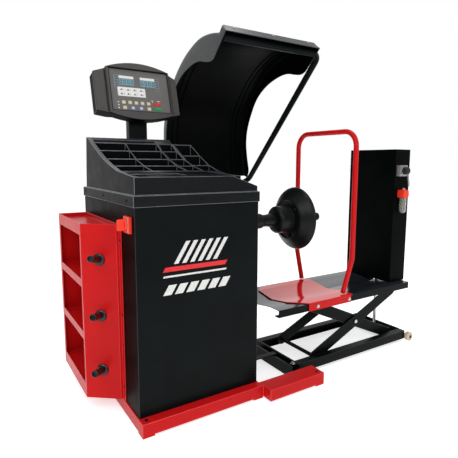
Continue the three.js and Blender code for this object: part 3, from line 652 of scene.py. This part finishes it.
def area_light(name, place, target, size, power):
    data = bpy.data.lights.new(name, "AREA")
    data.shape = "RECTANGLE"
    data.size, data.size_y = size
    data.energy = power
    light = bpy.data.objects.new(name, data)
    scene.collection.objects.link(light)
    light.location = at(*place)
    light.rotation_euler = (at(*target) - light.location).to_track_quat("-Z", "Y").to_euler()


area_light("key_light", (-1900, -1300, 2700), (300, 300, 700), (2.4, 2.0), 52)
area_light("front_light", (700, -3600, 2300), (700, 200, 600), (2.6, 1.6), 48)
area_light("top_light", (600, 700, 4200), (600, 300, 0), (3.4, 3.0), 66)
area_light("right_light", (4200, -600, 2200), (700, 200, 700), (1.8, 2.2), 22)

# ---------------------------------------------------------------- base and cabinet
POCKETS_X, POCKETS_Y, POCKET_FLOOR = (24, 523), (80, 628), 908
RIM_LEVEL, RIM_AREA = 921, 0.02


def shade_and_highlight_tray(piece):
    """Gives the flat faces finishes of their own: painted highlights on the rims, painted shade in the
    pockets and on the left side.
    """
    materials = piece.data.materials
    rim_highlight, pocket_shade, side = range(len(materials), len(materials) + 3)
    for material in (TRAY_RIM_HIGHLIGHT, TRAY_POCKET_SHADE, TRAY_SIDE_SHADE):
        materials.append(material)
    for face in piece.data.polygons:
        if face.material_index:
            continue
        centre = piece.matrix_world @ face.center
        height = centre.z / MM
        spot = (centre - ORIGIN) / MM
        if face.normal.dot(LEFT) > SQUARE_ON and spot.x < POCKETS_X[0]:
            face.material_index = side
        elif face.normal.z > 0.3 and height > RIM_LEVEL and face.area < RIM_AREA:
            face.material_index = rim_highlight
        elif (POCKETS_X[0] < spot.x < POCKETS_X[1] and POCKETS_Y[0] < spot.y < POCKETS_Y[1]
              and height > POCKET_FLOOR):
            face.material_index = pocket_shade


dressed("base_frame", 3.0, 3)
# The cabinet's left faces take the painted shade.
repaint(dressed("cabinet_front_shell", 1.6, 3), SHADED_PAINT, LEFT, SQUARE_ON)
repaint(dressed("cabinet_rear_shell", 1.2, 2), SHADED_PAINT, LEFT, SQUARE_ON)
shade_and_highlight_tray(dressed("weight_tray", 2.4, 3))
dressed("accessory_box", 1.1, 2)

# Plain slanted stripes stand in for the maker's graphic on the cabinet's front.
STRIPE_LEAN = 0.62
PRINT_HEIGHT = 0.3


def stripes(name, bars, material):
    """Leaning bars on the cabinet's front: each (left at the foot, foot, right at the foot, top)."""
    bm = bmesh.new()
    for left, low, right, high in bars:
        lean = (high - low) * STRIPE_LEAN
        outline = [(left, low), (right, low), (right + lean, high), (left + lean, high)]
        prism_into(bm, facing((0, 0, 0), RIGHT, UP), outline, PRINT_HEIGHT)
    to_piece(name, bm, "machine", "black_paint", material, 30)


stripes("graphic_white_stripes", [(150 + 34 * k, 640, 168 + 34 * k, 724) for k in range(6)], PRINT_WHITE)
stripes("graphic_red_stripe", [(104, 612, 376, 630)], FINISHES["red_key"])
stripes("graphic_white_line", [(104, 590, 380, 597)], PRINT_WHITE)
stripes("graphic_blocks", [(104 + 48 * k, 522, 138 + 48 * k, 560) for k in range(6)], PRINT_WHITE)
seam = bmesh.new()
prism_into(seam, facing((-0.02, 349, 821), FRONT, UP), rounded_rectangle(2.4, 76, 0.6), 0.25)
to_piece("side_panel_seam", seam, "machine", "black_paint", SEAM_AND_SHADOW_LINE, 30)
dressed("display_stem", 2.0, 2)

SKIRT_OUT, SKIRT_MIDDLE = -4.4, 883
fixings("tray_side_screws", screw_into, [(SKIRT_OUT, y, SKIRT_MIDDLE) for y in (68, 366, 664)], LEFT,
        4.5, 2.2, "machine", "black_paint")
fixings("tray_front_screws", screw_into, [(270, SKIRT_OUT, SKIRT_MIDDLE)], FRONT, 4.5, 2.2,
        "machine", "black_paint")
fixings("box_flange_screws", screw_into, [(-3.4, 159, z) for z in (120, 420, 720)], LEFT, 5, 2.6,
        "machine", "black_paint")
fixings("anchor_bolts", bolt_into, [(832, -72, 58), (20, -18, 58)], UP, 5, 2, "machine", "bright_steel",
        FINISHES["dark_steel"])

# Pegs for centring cones: a flanged foot and a tapered rubber sleeve with a hollow tip.
PEG_TILT = math.radians(14)
PEG_FOOT = (-71, 217)
box_face = Vector((114, -90, 0)).normalized()
peg_out = Vector((box_face.y, -box_face.x, 0))
peg_up = peg_out * math.cos(PEG_TILT) + UP * math.sin(PEG_TILT)
for peg, height in (("peg_top", 642), ("peg_middle", 414), ("peg_bottom", 186)):
    bm = bmesh.new()
    centre = (*PEG_FOOT, height)
    lathe_into(bm, peg_out, centre, eased([(0.4, 0.1), (0.4, 24), (4, 24), (8, 19), (9, 0.1)], 1.2), 48)
    lathe_into(bm, peg_up, centre, eased([
        (5, 0.1), (5, 14), (20, 13.6), (24, 13), (56, 13), (60, 14), (80.5, 14), (81.8, 12.4), (81.8, 10.5),
        (74, 9.8), (74, 0.1)], 1.0), 48)
    to_piece(peg + "_finish", bm, "machine", "black_rubber", replaces=(peg,))

# ---------------------------------------------------------------- main switch
SWITCH_FACE = -13.4
dressed("switch_plate", 1.4, 2)
knob = bmesh.new()
lathe_into(knob, LEFT, (SWITCH_FACE, *SWITCH), eased([
    (0, 0.1), (0, 22), (6, 21), (8, 19), (8.6, 0.1)], 1.2), 48)
rows = []
for depth, scale in ((7, 1.0), (24, 0.96), (30, 0.86), (32.3, 0.66)):
    outline = rounded_rectangle(14 * scale, 44 * (0.5 + scale / 2), 5.5 * scale, 5)
    rows.append([at(SWITCH_FACE - depth, SWITCH[0] + a, SWITCH[1] + b) for a, b in outline])
grid_faces(knob, rows, closed=True, cap=True)
to_piece("switch_knob_finish", knob, "main_switch", "switch_plastic", replaces=("switch_knob",))
label = bmesh.new()
label_frame = facing((-13.05, SWITCH[0] - 21.5, SWITCH[1]), FRONT, UP)
prism_into(label, label_frame, rounded_rectangle(11, 54, 2), 0.5)
to_piece("switch_label", label, "machine", "switch_plastic", PRINT_GREY)

# ---------------------------------------------------------------- display head
# Head coordinates: u to the right, d into the head and w up its sloping face, from the middle of its front.
BEZEL_DEPTH, CHEEK_DEPTH, PANEL_DEPTH = -5, 5, 2
SUNK = 0.1  # prints start this far inside the face they lie on
head_up = Vector((0, math.sin(HEAD_TILT), math.cos(HEAD_TILT)))
head_in = Vector((0, math.cos(HEAD_TILT), -math.sin(HEAD_TILT)))


def on_head(u, d, w):
    """A point in head coordinates as a layout point."""
    return tuple(Vector(HEAD) + RIGHT * u + head_in * d + head_up * w)


def box_outline(left, right, bottom, top):
    return [(left, bottom), (right, bottom), (right, top), (left, top)]


def paint_shadow_on_front(name, depth, boxes, material):
    """Thin (left, right, bottom, top) boxes of painted shadow lying on the head's front at a depth."""
    bm = bmesh.new()
    for box in boxes:
        prism_into(bm, facing(on_head(0, depth + SUNK, 0), RIGHT, head_up), box_outline(*box), 0.35)
    to_piece(name, bm, "machine", "head_plastic", material, 30)


def print_on_panel(name, boxes, material, proud=0.35, radius=1.2):
    """Printed or raised (left, right, bottom, top) areas of the membrane, with rounded corners."""
    bm = bmesh.new()
    for left, right, bottom, top in boxes:
        place = on_head((left + right) / 2, PANEL_DEPTH + SUNK, (bottom + top) / 2)
        r = min(radius, (right - left) / 2.2, (top - bottom) / 2.2)
        outline = rounded_rectangle(right - left, top - bottom, r)
        prism_into(bm, facing(place, RIGHT, head_up), outline, proud + SUNK)
    to_piece(name, bm, "machine", "keypad_film", material, 30)


def to_head(x0, x1, z0, z1):
    """Layout x and z on the sloping panel as head coordinates."""
    slope = math.cos(HEAD_TILT)
    return (x0 - HEAD[0], x1 - HEAD[0], (z0 - HEAD[2]) / slope, (z1 - HEAD[2]) / slope)


repaint(dressed("display_front", 2.6, 3, angle=24), HEAD_BACK, -head_up, 0.5)
dressed("display_back", 2.0, 2, angle=24, material=HEAD_BACK)
# Painted shadow: dark strips where the cheeks step back from the centre, and round the panel's recess,
# widest along its top.
paint_shadow_on_front("cheek_groove_shadows", CHEEK_DEPTH, [(-156, -151, -94, 114), (167, 172, -94, 114)], SEAM_AND_SHADOW_LINE)
paint_shadow_on_front("panel_recess_shadow", BEZEL_DEPTH, [
    (-139, 161, 118.3, 123.3), (-139, 161, -89, -86.8), (-137.2, -134.6, -88, 120),
    (156.6, 159.2, -88, 120)], SEAM_AND_SHADOW_LINE)
dressed("keypad_panel", 0.4, 1)

WINDOW_SPANS = ((156, 228), (260, 334))
windows = [to_head(*span, 1384, 1414) for span in WINDOW_SPANS]
print_on_panel("window_strips", [to_head(*span, 1416, 1428) for span in WINDOW_SPANS], PRINT_WHITE)
print_on_panel("display_windows", windows, WINDOW_BLUE, 0.5)
print_on_panel("unit_strips", [to_head(x, x + 19, 1369, 1430) for x in (132, 337)], MARK_STRIP, 0.25)
print_on_panel("unit_marks", [
    to_head(x, x + 13, z, z + 6.5) for x in (136, 340) for z in range(1372, 1421, 12)], MARK_BLUE, 0.4)


def digit_strokes(cx, cz, width, height, stroke):
    """The boxes of a figure eight without its middle stroke."""
    w, h, s = width / 2, height / 2, stroke / 2
    gap = 0.5
    strokes = [(cx - w + gap, cx + w - gap, cz + level * h - s, cz + level * h + s) for level in (-1, 1)]
    for side in (-1, 1):
        strokes.append((cx + side * w - s, cx + side * w + s, cz - h + gap, cz - gap))
        strokes.append((cx + side * w - s, cx + side * w + s, cz + gap, cz + h - gap))
    return strokes


digits = []
for left, right, bottom, top in windows:
    middle = (bottom + top) / 2
    for k in range(4):
        centre_u = left + (right - left) * (k + 0.5) / 4
        digits += digit_strokes(centre_u, middle, 8.5, 17, 2.6)
print_on_panel("window_digits", digits, WINDOW_DIGIT, 0.75, radius=0.5)

print_on_panel("icon_panel", [to_head(144, 280, 1331, 1374)], PRINT_WHITE, 0.3, radius=3)
icons = []
for k in range(4):
    for z in (1361, 1341):
        u = 163 + 32 * k
        icons += [to_head(u - 6, u + 6, z - 2.2, z), to_head(u - 3, u + 3, z, z + 4.5),
                  to_head(u + 10, u + 12, z - 1, z + 3)]
print_on_panel("icon_marks", icons, PRINT_DARK, 0.5, radius=0.6)
yellow = [to_head(158 + 30.7 * k, 176 + 30.7 * k, 1294, 1310) for k in range(5)]
yellow += [to_head(161, 180, 1269, 1285), to_head(281, 300, 1269, 1285)]
blue = [to_head(201, 219, 1269, 1285), to_head(242, 260, 1269, 1285)]
print_on_panel("yellow_keys", yellow, KEY_YELLOW, 0.5, radius=2)
print_on_panel("blue_keys", blue, KEY_BLUE, 0.5, radius=2)
print_on_panel("key_faces", [(a + 3, b - 3, c + 3, d - 3) for a, b, c, d in yellow + blue], KEY_FACE, 0.8)
indicators = [to_head(138, 145, z, z + 5) for z in (1272, 1285, 1299)]
print_on_panel("indicator_marks", indicators, PRINT_WHITE, 0.5, radius=2)
print_on_panel("key_legends", [
    to_head(304, 318, 1317, 1319), to_head(334, 352, 1317, 1319), to_head(309, 313, 1310, 1313),
    to_head(341, 345, 1310, 1313)], PRINT_WHITE, 0.3, radius=0.6)
for key in ("start_key", "stop_key"):
    dressed(key, 0.6, 2)
for key, slot, u, w in (("start", "green_key", 91, -68), ("stop", "red_key", 88, -45)):
    bm = bmesh.new()
    for offset in (-10, 10):
        mark_frame = facing(on_head(u + offset, 0.6, w), RIGHT, head_up)
        prism_into(bm, mark_frame, rounded_rectangle(1.6, 9, 0.6), 0.3)
    to_piece(key + "_key_marks", bm, key + "_button", slot, PRINT_DARK, 30)
head_screws = [on_head(u, CHEEK_DEPTH - 0.2, w) for u in (-180, 187) for w in (-78, 84)]
fixings("head_screws", screw_into, head_screws, -head_in, 4, 1.6, "machine", "head_plastic")

# ---------------------------------------------------------------- spindle
BELL_BACK, BOLT_CIRCLE = 857.8, 81
lathe("spindle_housing_nose", "x", SPINDLE_AXIS, eased([
    (540.4, 0.1), (540.4, 36), (690, 36), (703, 31), (703, 20.6), (701, 0.1)], 2),
    "machine", "cast_iron", material=FINISHES["dark_steel"])
lathe("spindle_shaft_finish", "x", SPINDLE_AXIS, eased([
    (330, 0.1), (330, 18), (332, 20), (702, 20), (702, 29), (732, 29), (735, 31), (771, 31), (771.5, 20),
    (1036, 20), (1038, 18), (1044, 18), (1046, 20), (1059, 20), (1064, 15), (1064, 4), (1058, 2),
    (1058, 0.1)], 1.2), "spindle", "dark_steel", replaces=("spindle_shaft",))
lathe("hub_collar_finish", "x", SPINDLE_AXIS, eased([
    (772, 20.4), (772, 34), (773, 36), (776, 55), (784, 64), (790, 66.6), (838, 66.9), (840, 65.6),
    (842, 65.6), (843, 71), (857.6, 71), (857.6, 20.4)], 1.8),
    "spindle", "dark_steel", 96, replaces=("hub_collar",))
lathe("mounting_bell_finish", "x", SPINDLE_AXIS, eased([
    (858, 20.4), (858, 89), (855, 92), (854, 95), (854.3, 99), (857, 104), (862, 111), (868, 118),
    (878, 130), (888, 142), (896, 150), (902, 154.2), (907, 156.4), (910.5, 156.9), (912, 155.6),
    (912, 149), (903, 147), (892, 137), (880, 122), (873, 113), (868, 100), (868, 20.4)], 2.5),
    "spindle", "dark_steel", 128, replaces=("mounting_bell",))
bm = bmesh.new()
bolt_outline = eased([(0, 0.1), (0, 8.5), (5, 8.5), (8, 6), (9, 0.1)], 1.5)
for k in range(3):
    a = math.radians(139 + 120 * k)
    y, z = SPINDLE_AXIS[1] + BOLT_CIRCLE * math.cos(a), SPINDLE_AXIS[2] + BOLT_CIRCLE * math.sin(a)
    lathe_into(bm, LEFT, (BELL_BACK, y, z), bolt_outline, 28)
to_piece("bell_bolts", bm, "spindle", "dark_steel", sharp=30)

# ---------------------------------------------------------------- wheel guard
# The guard is built from rows across it. Each runs from a point of the left flange's rim, over the crest
# and down to the same point on the right. Outlines are (y, z) points, from the nose to the back edge.
NOSE = [(201, 1591), (219, 1607), (237, 1623), (250, 1611)]
CREST = [(262, 1597), (357, 1613), (453, 1613), (543, 1589), (627, 1552), (714, 1494), (800, 1410),
         (858, 1324), (889, 1238), (898, 1150), (893, 1060), (880, 980), (872, 936)]
NOSE_RIM = [(201.6, 1590.4), (258, 1539)]
RIM = [(307, 1494), (341, 1484), (387, 1490), (460, 1505), (545, 1497), (650, 1464), (745, 1401),
       (811, 1305), (848, 1218), (858, 1142), (848, 1060), (829, 980), (833, 951), (848, 926)]
CREST_STEPS, RIM_STEPS, RIM_FINE_STEPS, CORNER_STEPS, SPLINE_STEPS = 90, 200, 400, 5, 24
GUARD_LEFT, GUARD_RIGHT = 500, 1052
GUARD_WALL = 3.0
GUARD_INSET = 0.5  # how far the finished shell lies inside the CAD's
FLANGE_RADIUS = 13
RIB_DEPTH, RIB_SLOPE = 5, 2
RIBS = ((GUARD_LEFT + 62, 7), (GUARD_LEFT + 92, 5), (GUARD_RIGHT - 92, 5), (GUARD_RIGHT - 62, 7))
RIBS_START, RIBS_END = 9, 2  # rows without ribs at the nose and at the back edge


def spline(points, count):
    """Catmull-Rom points, evenly spaced along the curve."""
    control = [Vector(p) for p in points]
    control = [control[0] * 2 - control[1]] + control + [control[-1] * 2 - control[-2]]
    fine = []
    for a, b, c, d in zip(control, control[1:], control[2:], control[3:]):
        for k in range(SPLINE_STEPS):
            t = k / SPLINE_STEPS
            fine.append(0.5 * (2 * b + (c - a) * t + (2 * a - 5 * b + 4 * c - d) * t**2
                               + (3 * b - a - 3 * c + d) * t**3))
    fine.append(control[-2])
    return resample(fine, count)


def resample(points, count):
    """Points evenly spaced along a fine outline."""
    lengths = [0.0]
    for a, b in zip(points, points[1:]):
        lengths.append(lengths[-1] + (b - a).length)
    out, i = [], 0
    for k in range(count + 1):
        want = lengths[-1] * k / count
        while i < len(lengths) - 2 and lengths[i + 1] < want:
            i += 1
        span = lengths[i + 1] - lengths[i]
        out.append(points[i].lerp(points[i + 1], (want - lengths[i]) / span if span else 0.0))
    return out


def matched(fine, outline):
    """A point of the fine outline for every point of the other, as far along it."""
    lengths = [(b - a).length for a, b in zip(outline, outline[1:])]
    total = sum(lengths)
    run, fractions = 0.0, [0.0]
    for length in lengths:
        run += length
        fractions.append(run / total)
    even = resample(fine, RIM_FINE_STEPS)
    return [even[round(f * RIM_FINE_STEPS)] for f in fractions]


crest_line = [Vector(p) for p in NOSE] + spline(CREST, CREST_STEPS)
rim_line = matched([Vector(p) for p in NOSE_RIM] + spline(RIM, RIM_STEPS), crest_line)


def guard_rows(wall):
    """The rows of the guard's surface that lies `wall` inside its outer one."""
    rows = []
    last = len(crest_line) - 1
    corner_turns = [math.pi / 2 * k / CORNER_STEPS for k in range(CORNER_STEPS + 1)]
    left, right = GUARD_LEFT + wall + GUARD_INSET, GUARD_RIGHT - wall - GUARD_INSET
    for i, (top, low) in enumerate(zip(crest_line, rim_line)):
        tangent = (crest_line[min(i + 1, last)] - crest_line[max(i - 1, 0)]).normalized()
        inward = Vector((tangent.y, -tangent.x))
        height = (low - top).length
        down = (low - top).normalized() if height > 1e-3 else inward
        radius = min(FLANGE_RADIUS, height * 0.45)
        outer = radius - min(wall, radius * 0.8)
        crest = top + inward * (wall + GUARD_INSET)
        flange = [low, low.lerp(crest + down * radius, 0.5)]
        depth = RIB_DEPTH if RIBS_START <= i <= last - RIBS_END else 0
        section = [(left, p) for p in flange]
        for a in corner_turns:
            section.append((left + outer * (1 - math.cos(a)), crest + down * outer * (1 - math.sin(a))))
        for centre, half in RIBS:
            inner = half - RIB_SLOPE
            for offset, sunk in ((-half, 0), (-inner, depth), (inner, depth), (half, 0)):
                section.append((centre + offset, crest + inward * sunk))
        for a in corner_turns:
            section.append((right - outer * (1 - math.sin(a)), crest + down * outer * (1 - math.cos(a))))
        section += [(right, p) for p in reversed(flange)]
        rows.append([at(x, p.x, p.y) for x, p in section])
    return rows


bm = bmesh.new()
outer_rows, inner_rows = guard_rows(0.0), guard_rows(GUARD_WALL)
made = [grid_faces(bm, rows) for rows in (outer_rows, inner_rows)]
for edge_of in (lambda grid: grid[0], lambda grid: grid[-1],
                lambda grid: [row[0] for row in grid], lambda grid: [row[-1] for row in grid]):
    outer_edge, inner_edge = (edge_of(grid) for grid in made)
    for i in range(len(outer_edge) - 1):
        bm.faces.new((outer_edge[i], outer_edge[i + 1], inner_edge[i + 1], inner_edge[i]))
guard = to_piece("guard_shell_finish", bm, "guard", "guard_plastic", sharp=40, weighted=False,
                 replaces=("hood_shell",))
# The guard's inner faces take the painted shade.
guard.data.materials.append(GUARD_INSIDE_SHADE)
side_faces = (len(outer_rows) - 1) * (len(outer_rows[0]) - 1)
for index in range(side_faces, 2 * side_faces):
    guard.data.polygons[index].material_index = 1

NOSE_TUBE = (238, 1570)
NOSE_UP = Vector((0, -31, 36)).normalized()
guard_tube = bmesh.new()
guard_route = [
    (345, *GUARD_PIVOT), (GUARD_TUBE_X, *GUARD_PIVOT), (GUARD_TUBE_X, *NOSE_TUBE), (508, *NOSE_TUBE)]
tube_into(guard_tube, bent(guard_route, [60, 45]), 16.4)
to_piece("guard_tube_finish", guard_tube, "guard", "black_paint", replaces=("hood_tube",))
dressed("hood_bracket", 1.5, 2)
fixings("guard_screws", screw_into, [(x, 226, 1613.4) for x in (560, 776, 992)], NOSE_UP, 5, 2.4,
        "guard", "bright_steel")

# ---------------------------------------------------------------- lift base
for node in ("front_rail", "rear_rail", "cross_member_left", "cross_member_right"):
    dressed(node, 1.2, 2)
dressed("tie_bar", 1.0, 1)
ROLLER = (1634, 25)  # x and z
ROLLER_END = [
    (-12.8, 6.4), (-12.8, 9), (-11, 10), (-11, 17), (-12.8, 18), (-12.8, 21), (-11, 24.4), (-9, 25)]
roller_profile = eased(ROLLER_END + [(-d, radius) for d, radius in reversed(ROLLER_END)], 0.8)
for side, y, out in (("front", 18, FRONT), ("rear", 392, -FRONT)):
    lathe("roller_" + side + "_finish", "y", (ROLLER[0], y, ROLLER[1]), roller_profile,
          side + "_roller", "nylon", 64, replaces=("roller_" + side,))
    fixings("roller_pin_" + side, bolt_into, [(ROLLER[0], y + out.y * 13.4, ROLLER[1])], out, 6, 2.0,
            "machine", "dark_steel")
fixings("cross_member_bolts", bolt_into, [(785, y, 62) for y in (45, 365)], UP, 8, 8,
        "machine", "bright_steel")

# ---------------------------------------------------------------- scissor, deck and column
for node in ("arm_a_front", "arm_a_rear", "arm_b_front", "arm_b_rear"):
    dressed(node, 1.2, 2)
for node in ("centre_bolt_front", "centre_bolt_rear", "arm_a_axle", "arm_b_axle", "lift_rod",
             "lift_cylinder"):
    dressed(node, 0.6, 1)
repaint(dressed("deck_plate", 0.9, 2), FINISHES["black_paint"], DOWN, NOT_AWAY)
column_piece = dressed("column_shell", 1.6, 2)
# The column's left and front faces take the painted shade.
for direction in (LEFT, FRONT):
    repaint(column_piece, SHADED_PAINT, direction, SQUARE_ON)
COLUMN_FACE = 64.8
fixings("column_screws", screw_into, [
    (x, COLUMN_FACE, z) for x, z in ((1505, 993), (1514, 1084), (1612, 1084), (1514, 372))], FRONT, 4, 2,
    "deck", "black_paint")

# ---------------------------------------------------------------- air valve and filter
dressed("valve_block", 1.6, 2)
fixings("valve_bolts", bolt_into, [(VALVE[0] - 25, 40.2, VALVE[1] + dz) for dz in (-22, 22)], FRONT, 3.4, 3,
        "deck", "bright_steel")
lathe("valve_knob_finish", "y", (VALVE[0], 0, VALVE[1]), eased([
    (8, 0.1), (8, 13), (10, 18), (14, 20), (27, 20), (28, 18.8), (30, 18.8), (33.5, 22), (33.5, 8), (47, 8),
    (47, 0.1)], 1.4), "pressure_knob", "knob_plastic", 60, replaces=("valve_knob",))
dressed("valve_lever", 0.6, 2)
dressed("filter_head", 1.8, 2)
filter_axis = (FILTER[0], FILTER[1], 0)
lathe("filter_barb", "x", (0, FILTER[1], FILTER[2] - 4), eased([
    (1572, 0.1), (1572, 7.4), (1580, 7.4), (1581, 5.2), (1585, 5.2), (1587, 6.6), (1592, 4.8), (1593, 6.2),
    (1600, 3.6), (1600, 0.1)], 0.4), "deck", "bright_steel", 32)
lathe("filter_top_fitting", "z", filter_axis, eased([
    (877, 0.1), (877, 8.6), (884, 8.6), (885, 6), (888, 6), (888, 0.1)], 0.6), "deck", "bright_steel", 24)
lathe("filter_bowl_finish", "z", filter_axis, eased([
    (842, 15.5), (842, 18), (766, 18), (757, 16), (751, 11), (748, 5), (748, 0.1), (751, 0.1), (751, 4.5),
    (754, 9.5), (759, 13.5), (766, 15.5), (842, 15.5)], 1.0), "deck", "clear_plastic", 48,
    replaces=("filter_bowl",))
lathe("filter_element", "z", filter_axis, eased([
    (842, 0.1), (842, 7), (812, 7), (810, 4), (800, 4), (799, 0.1)], 0.8), "deck", "knob_plastic", 32)
lathe("filter_drain", "z", filter_axis, eased([
    (756, 0.1), (756, 3), (751.5, 4), (751.5, 0.1)], 0.4), "deck", "knob_plastic", 20)

# ---------------------------------------------------------------- carriage
repaint(dressed("carriage_plate", 1.2, 2, material=GLOSSY_RED), FINISHES["red_paint"], DOWN, NOT_AWAY)
handle = bmesh.new()
HANDLE_FOOT, HANDLE_BEND, HANDLE_TOP = 364, 550, 1176
handle_route = [(45, HANDLE_FOOT), (HANDLE_FRONT, HANDLE_BEND), (HANDLE_FRONT, HANDLE_TOP),
                (HANDLE_BACK, HANDLE_TOP), (HANDLE_BACK, HANDLE_BEND), (365, HANDLE_FOOT)]
tube_into(handle, bent([(HANDLE_X, y, z) for y, z in handle_route], [60, 75, 75, 60]), 12.9)
to_piece("carriage_handle_finish", handle, "carriage", "red_paint", replaces=("carriage_handle",))
fixings("carriage_bolts", bolt_into, [(x, 15, 334) for x in (911, 1126)], FRONT, 6, 6,
        "carriage", "bright_steel")

# ---------------------------------------------------------------- nodes kept as they are
for node, piece in frame["nodes"].items():
    if not piece.hide_render:
        piece.data.materials.clear()
        piece.data.materials.append(FINISHES[SLOT_OF[node]])
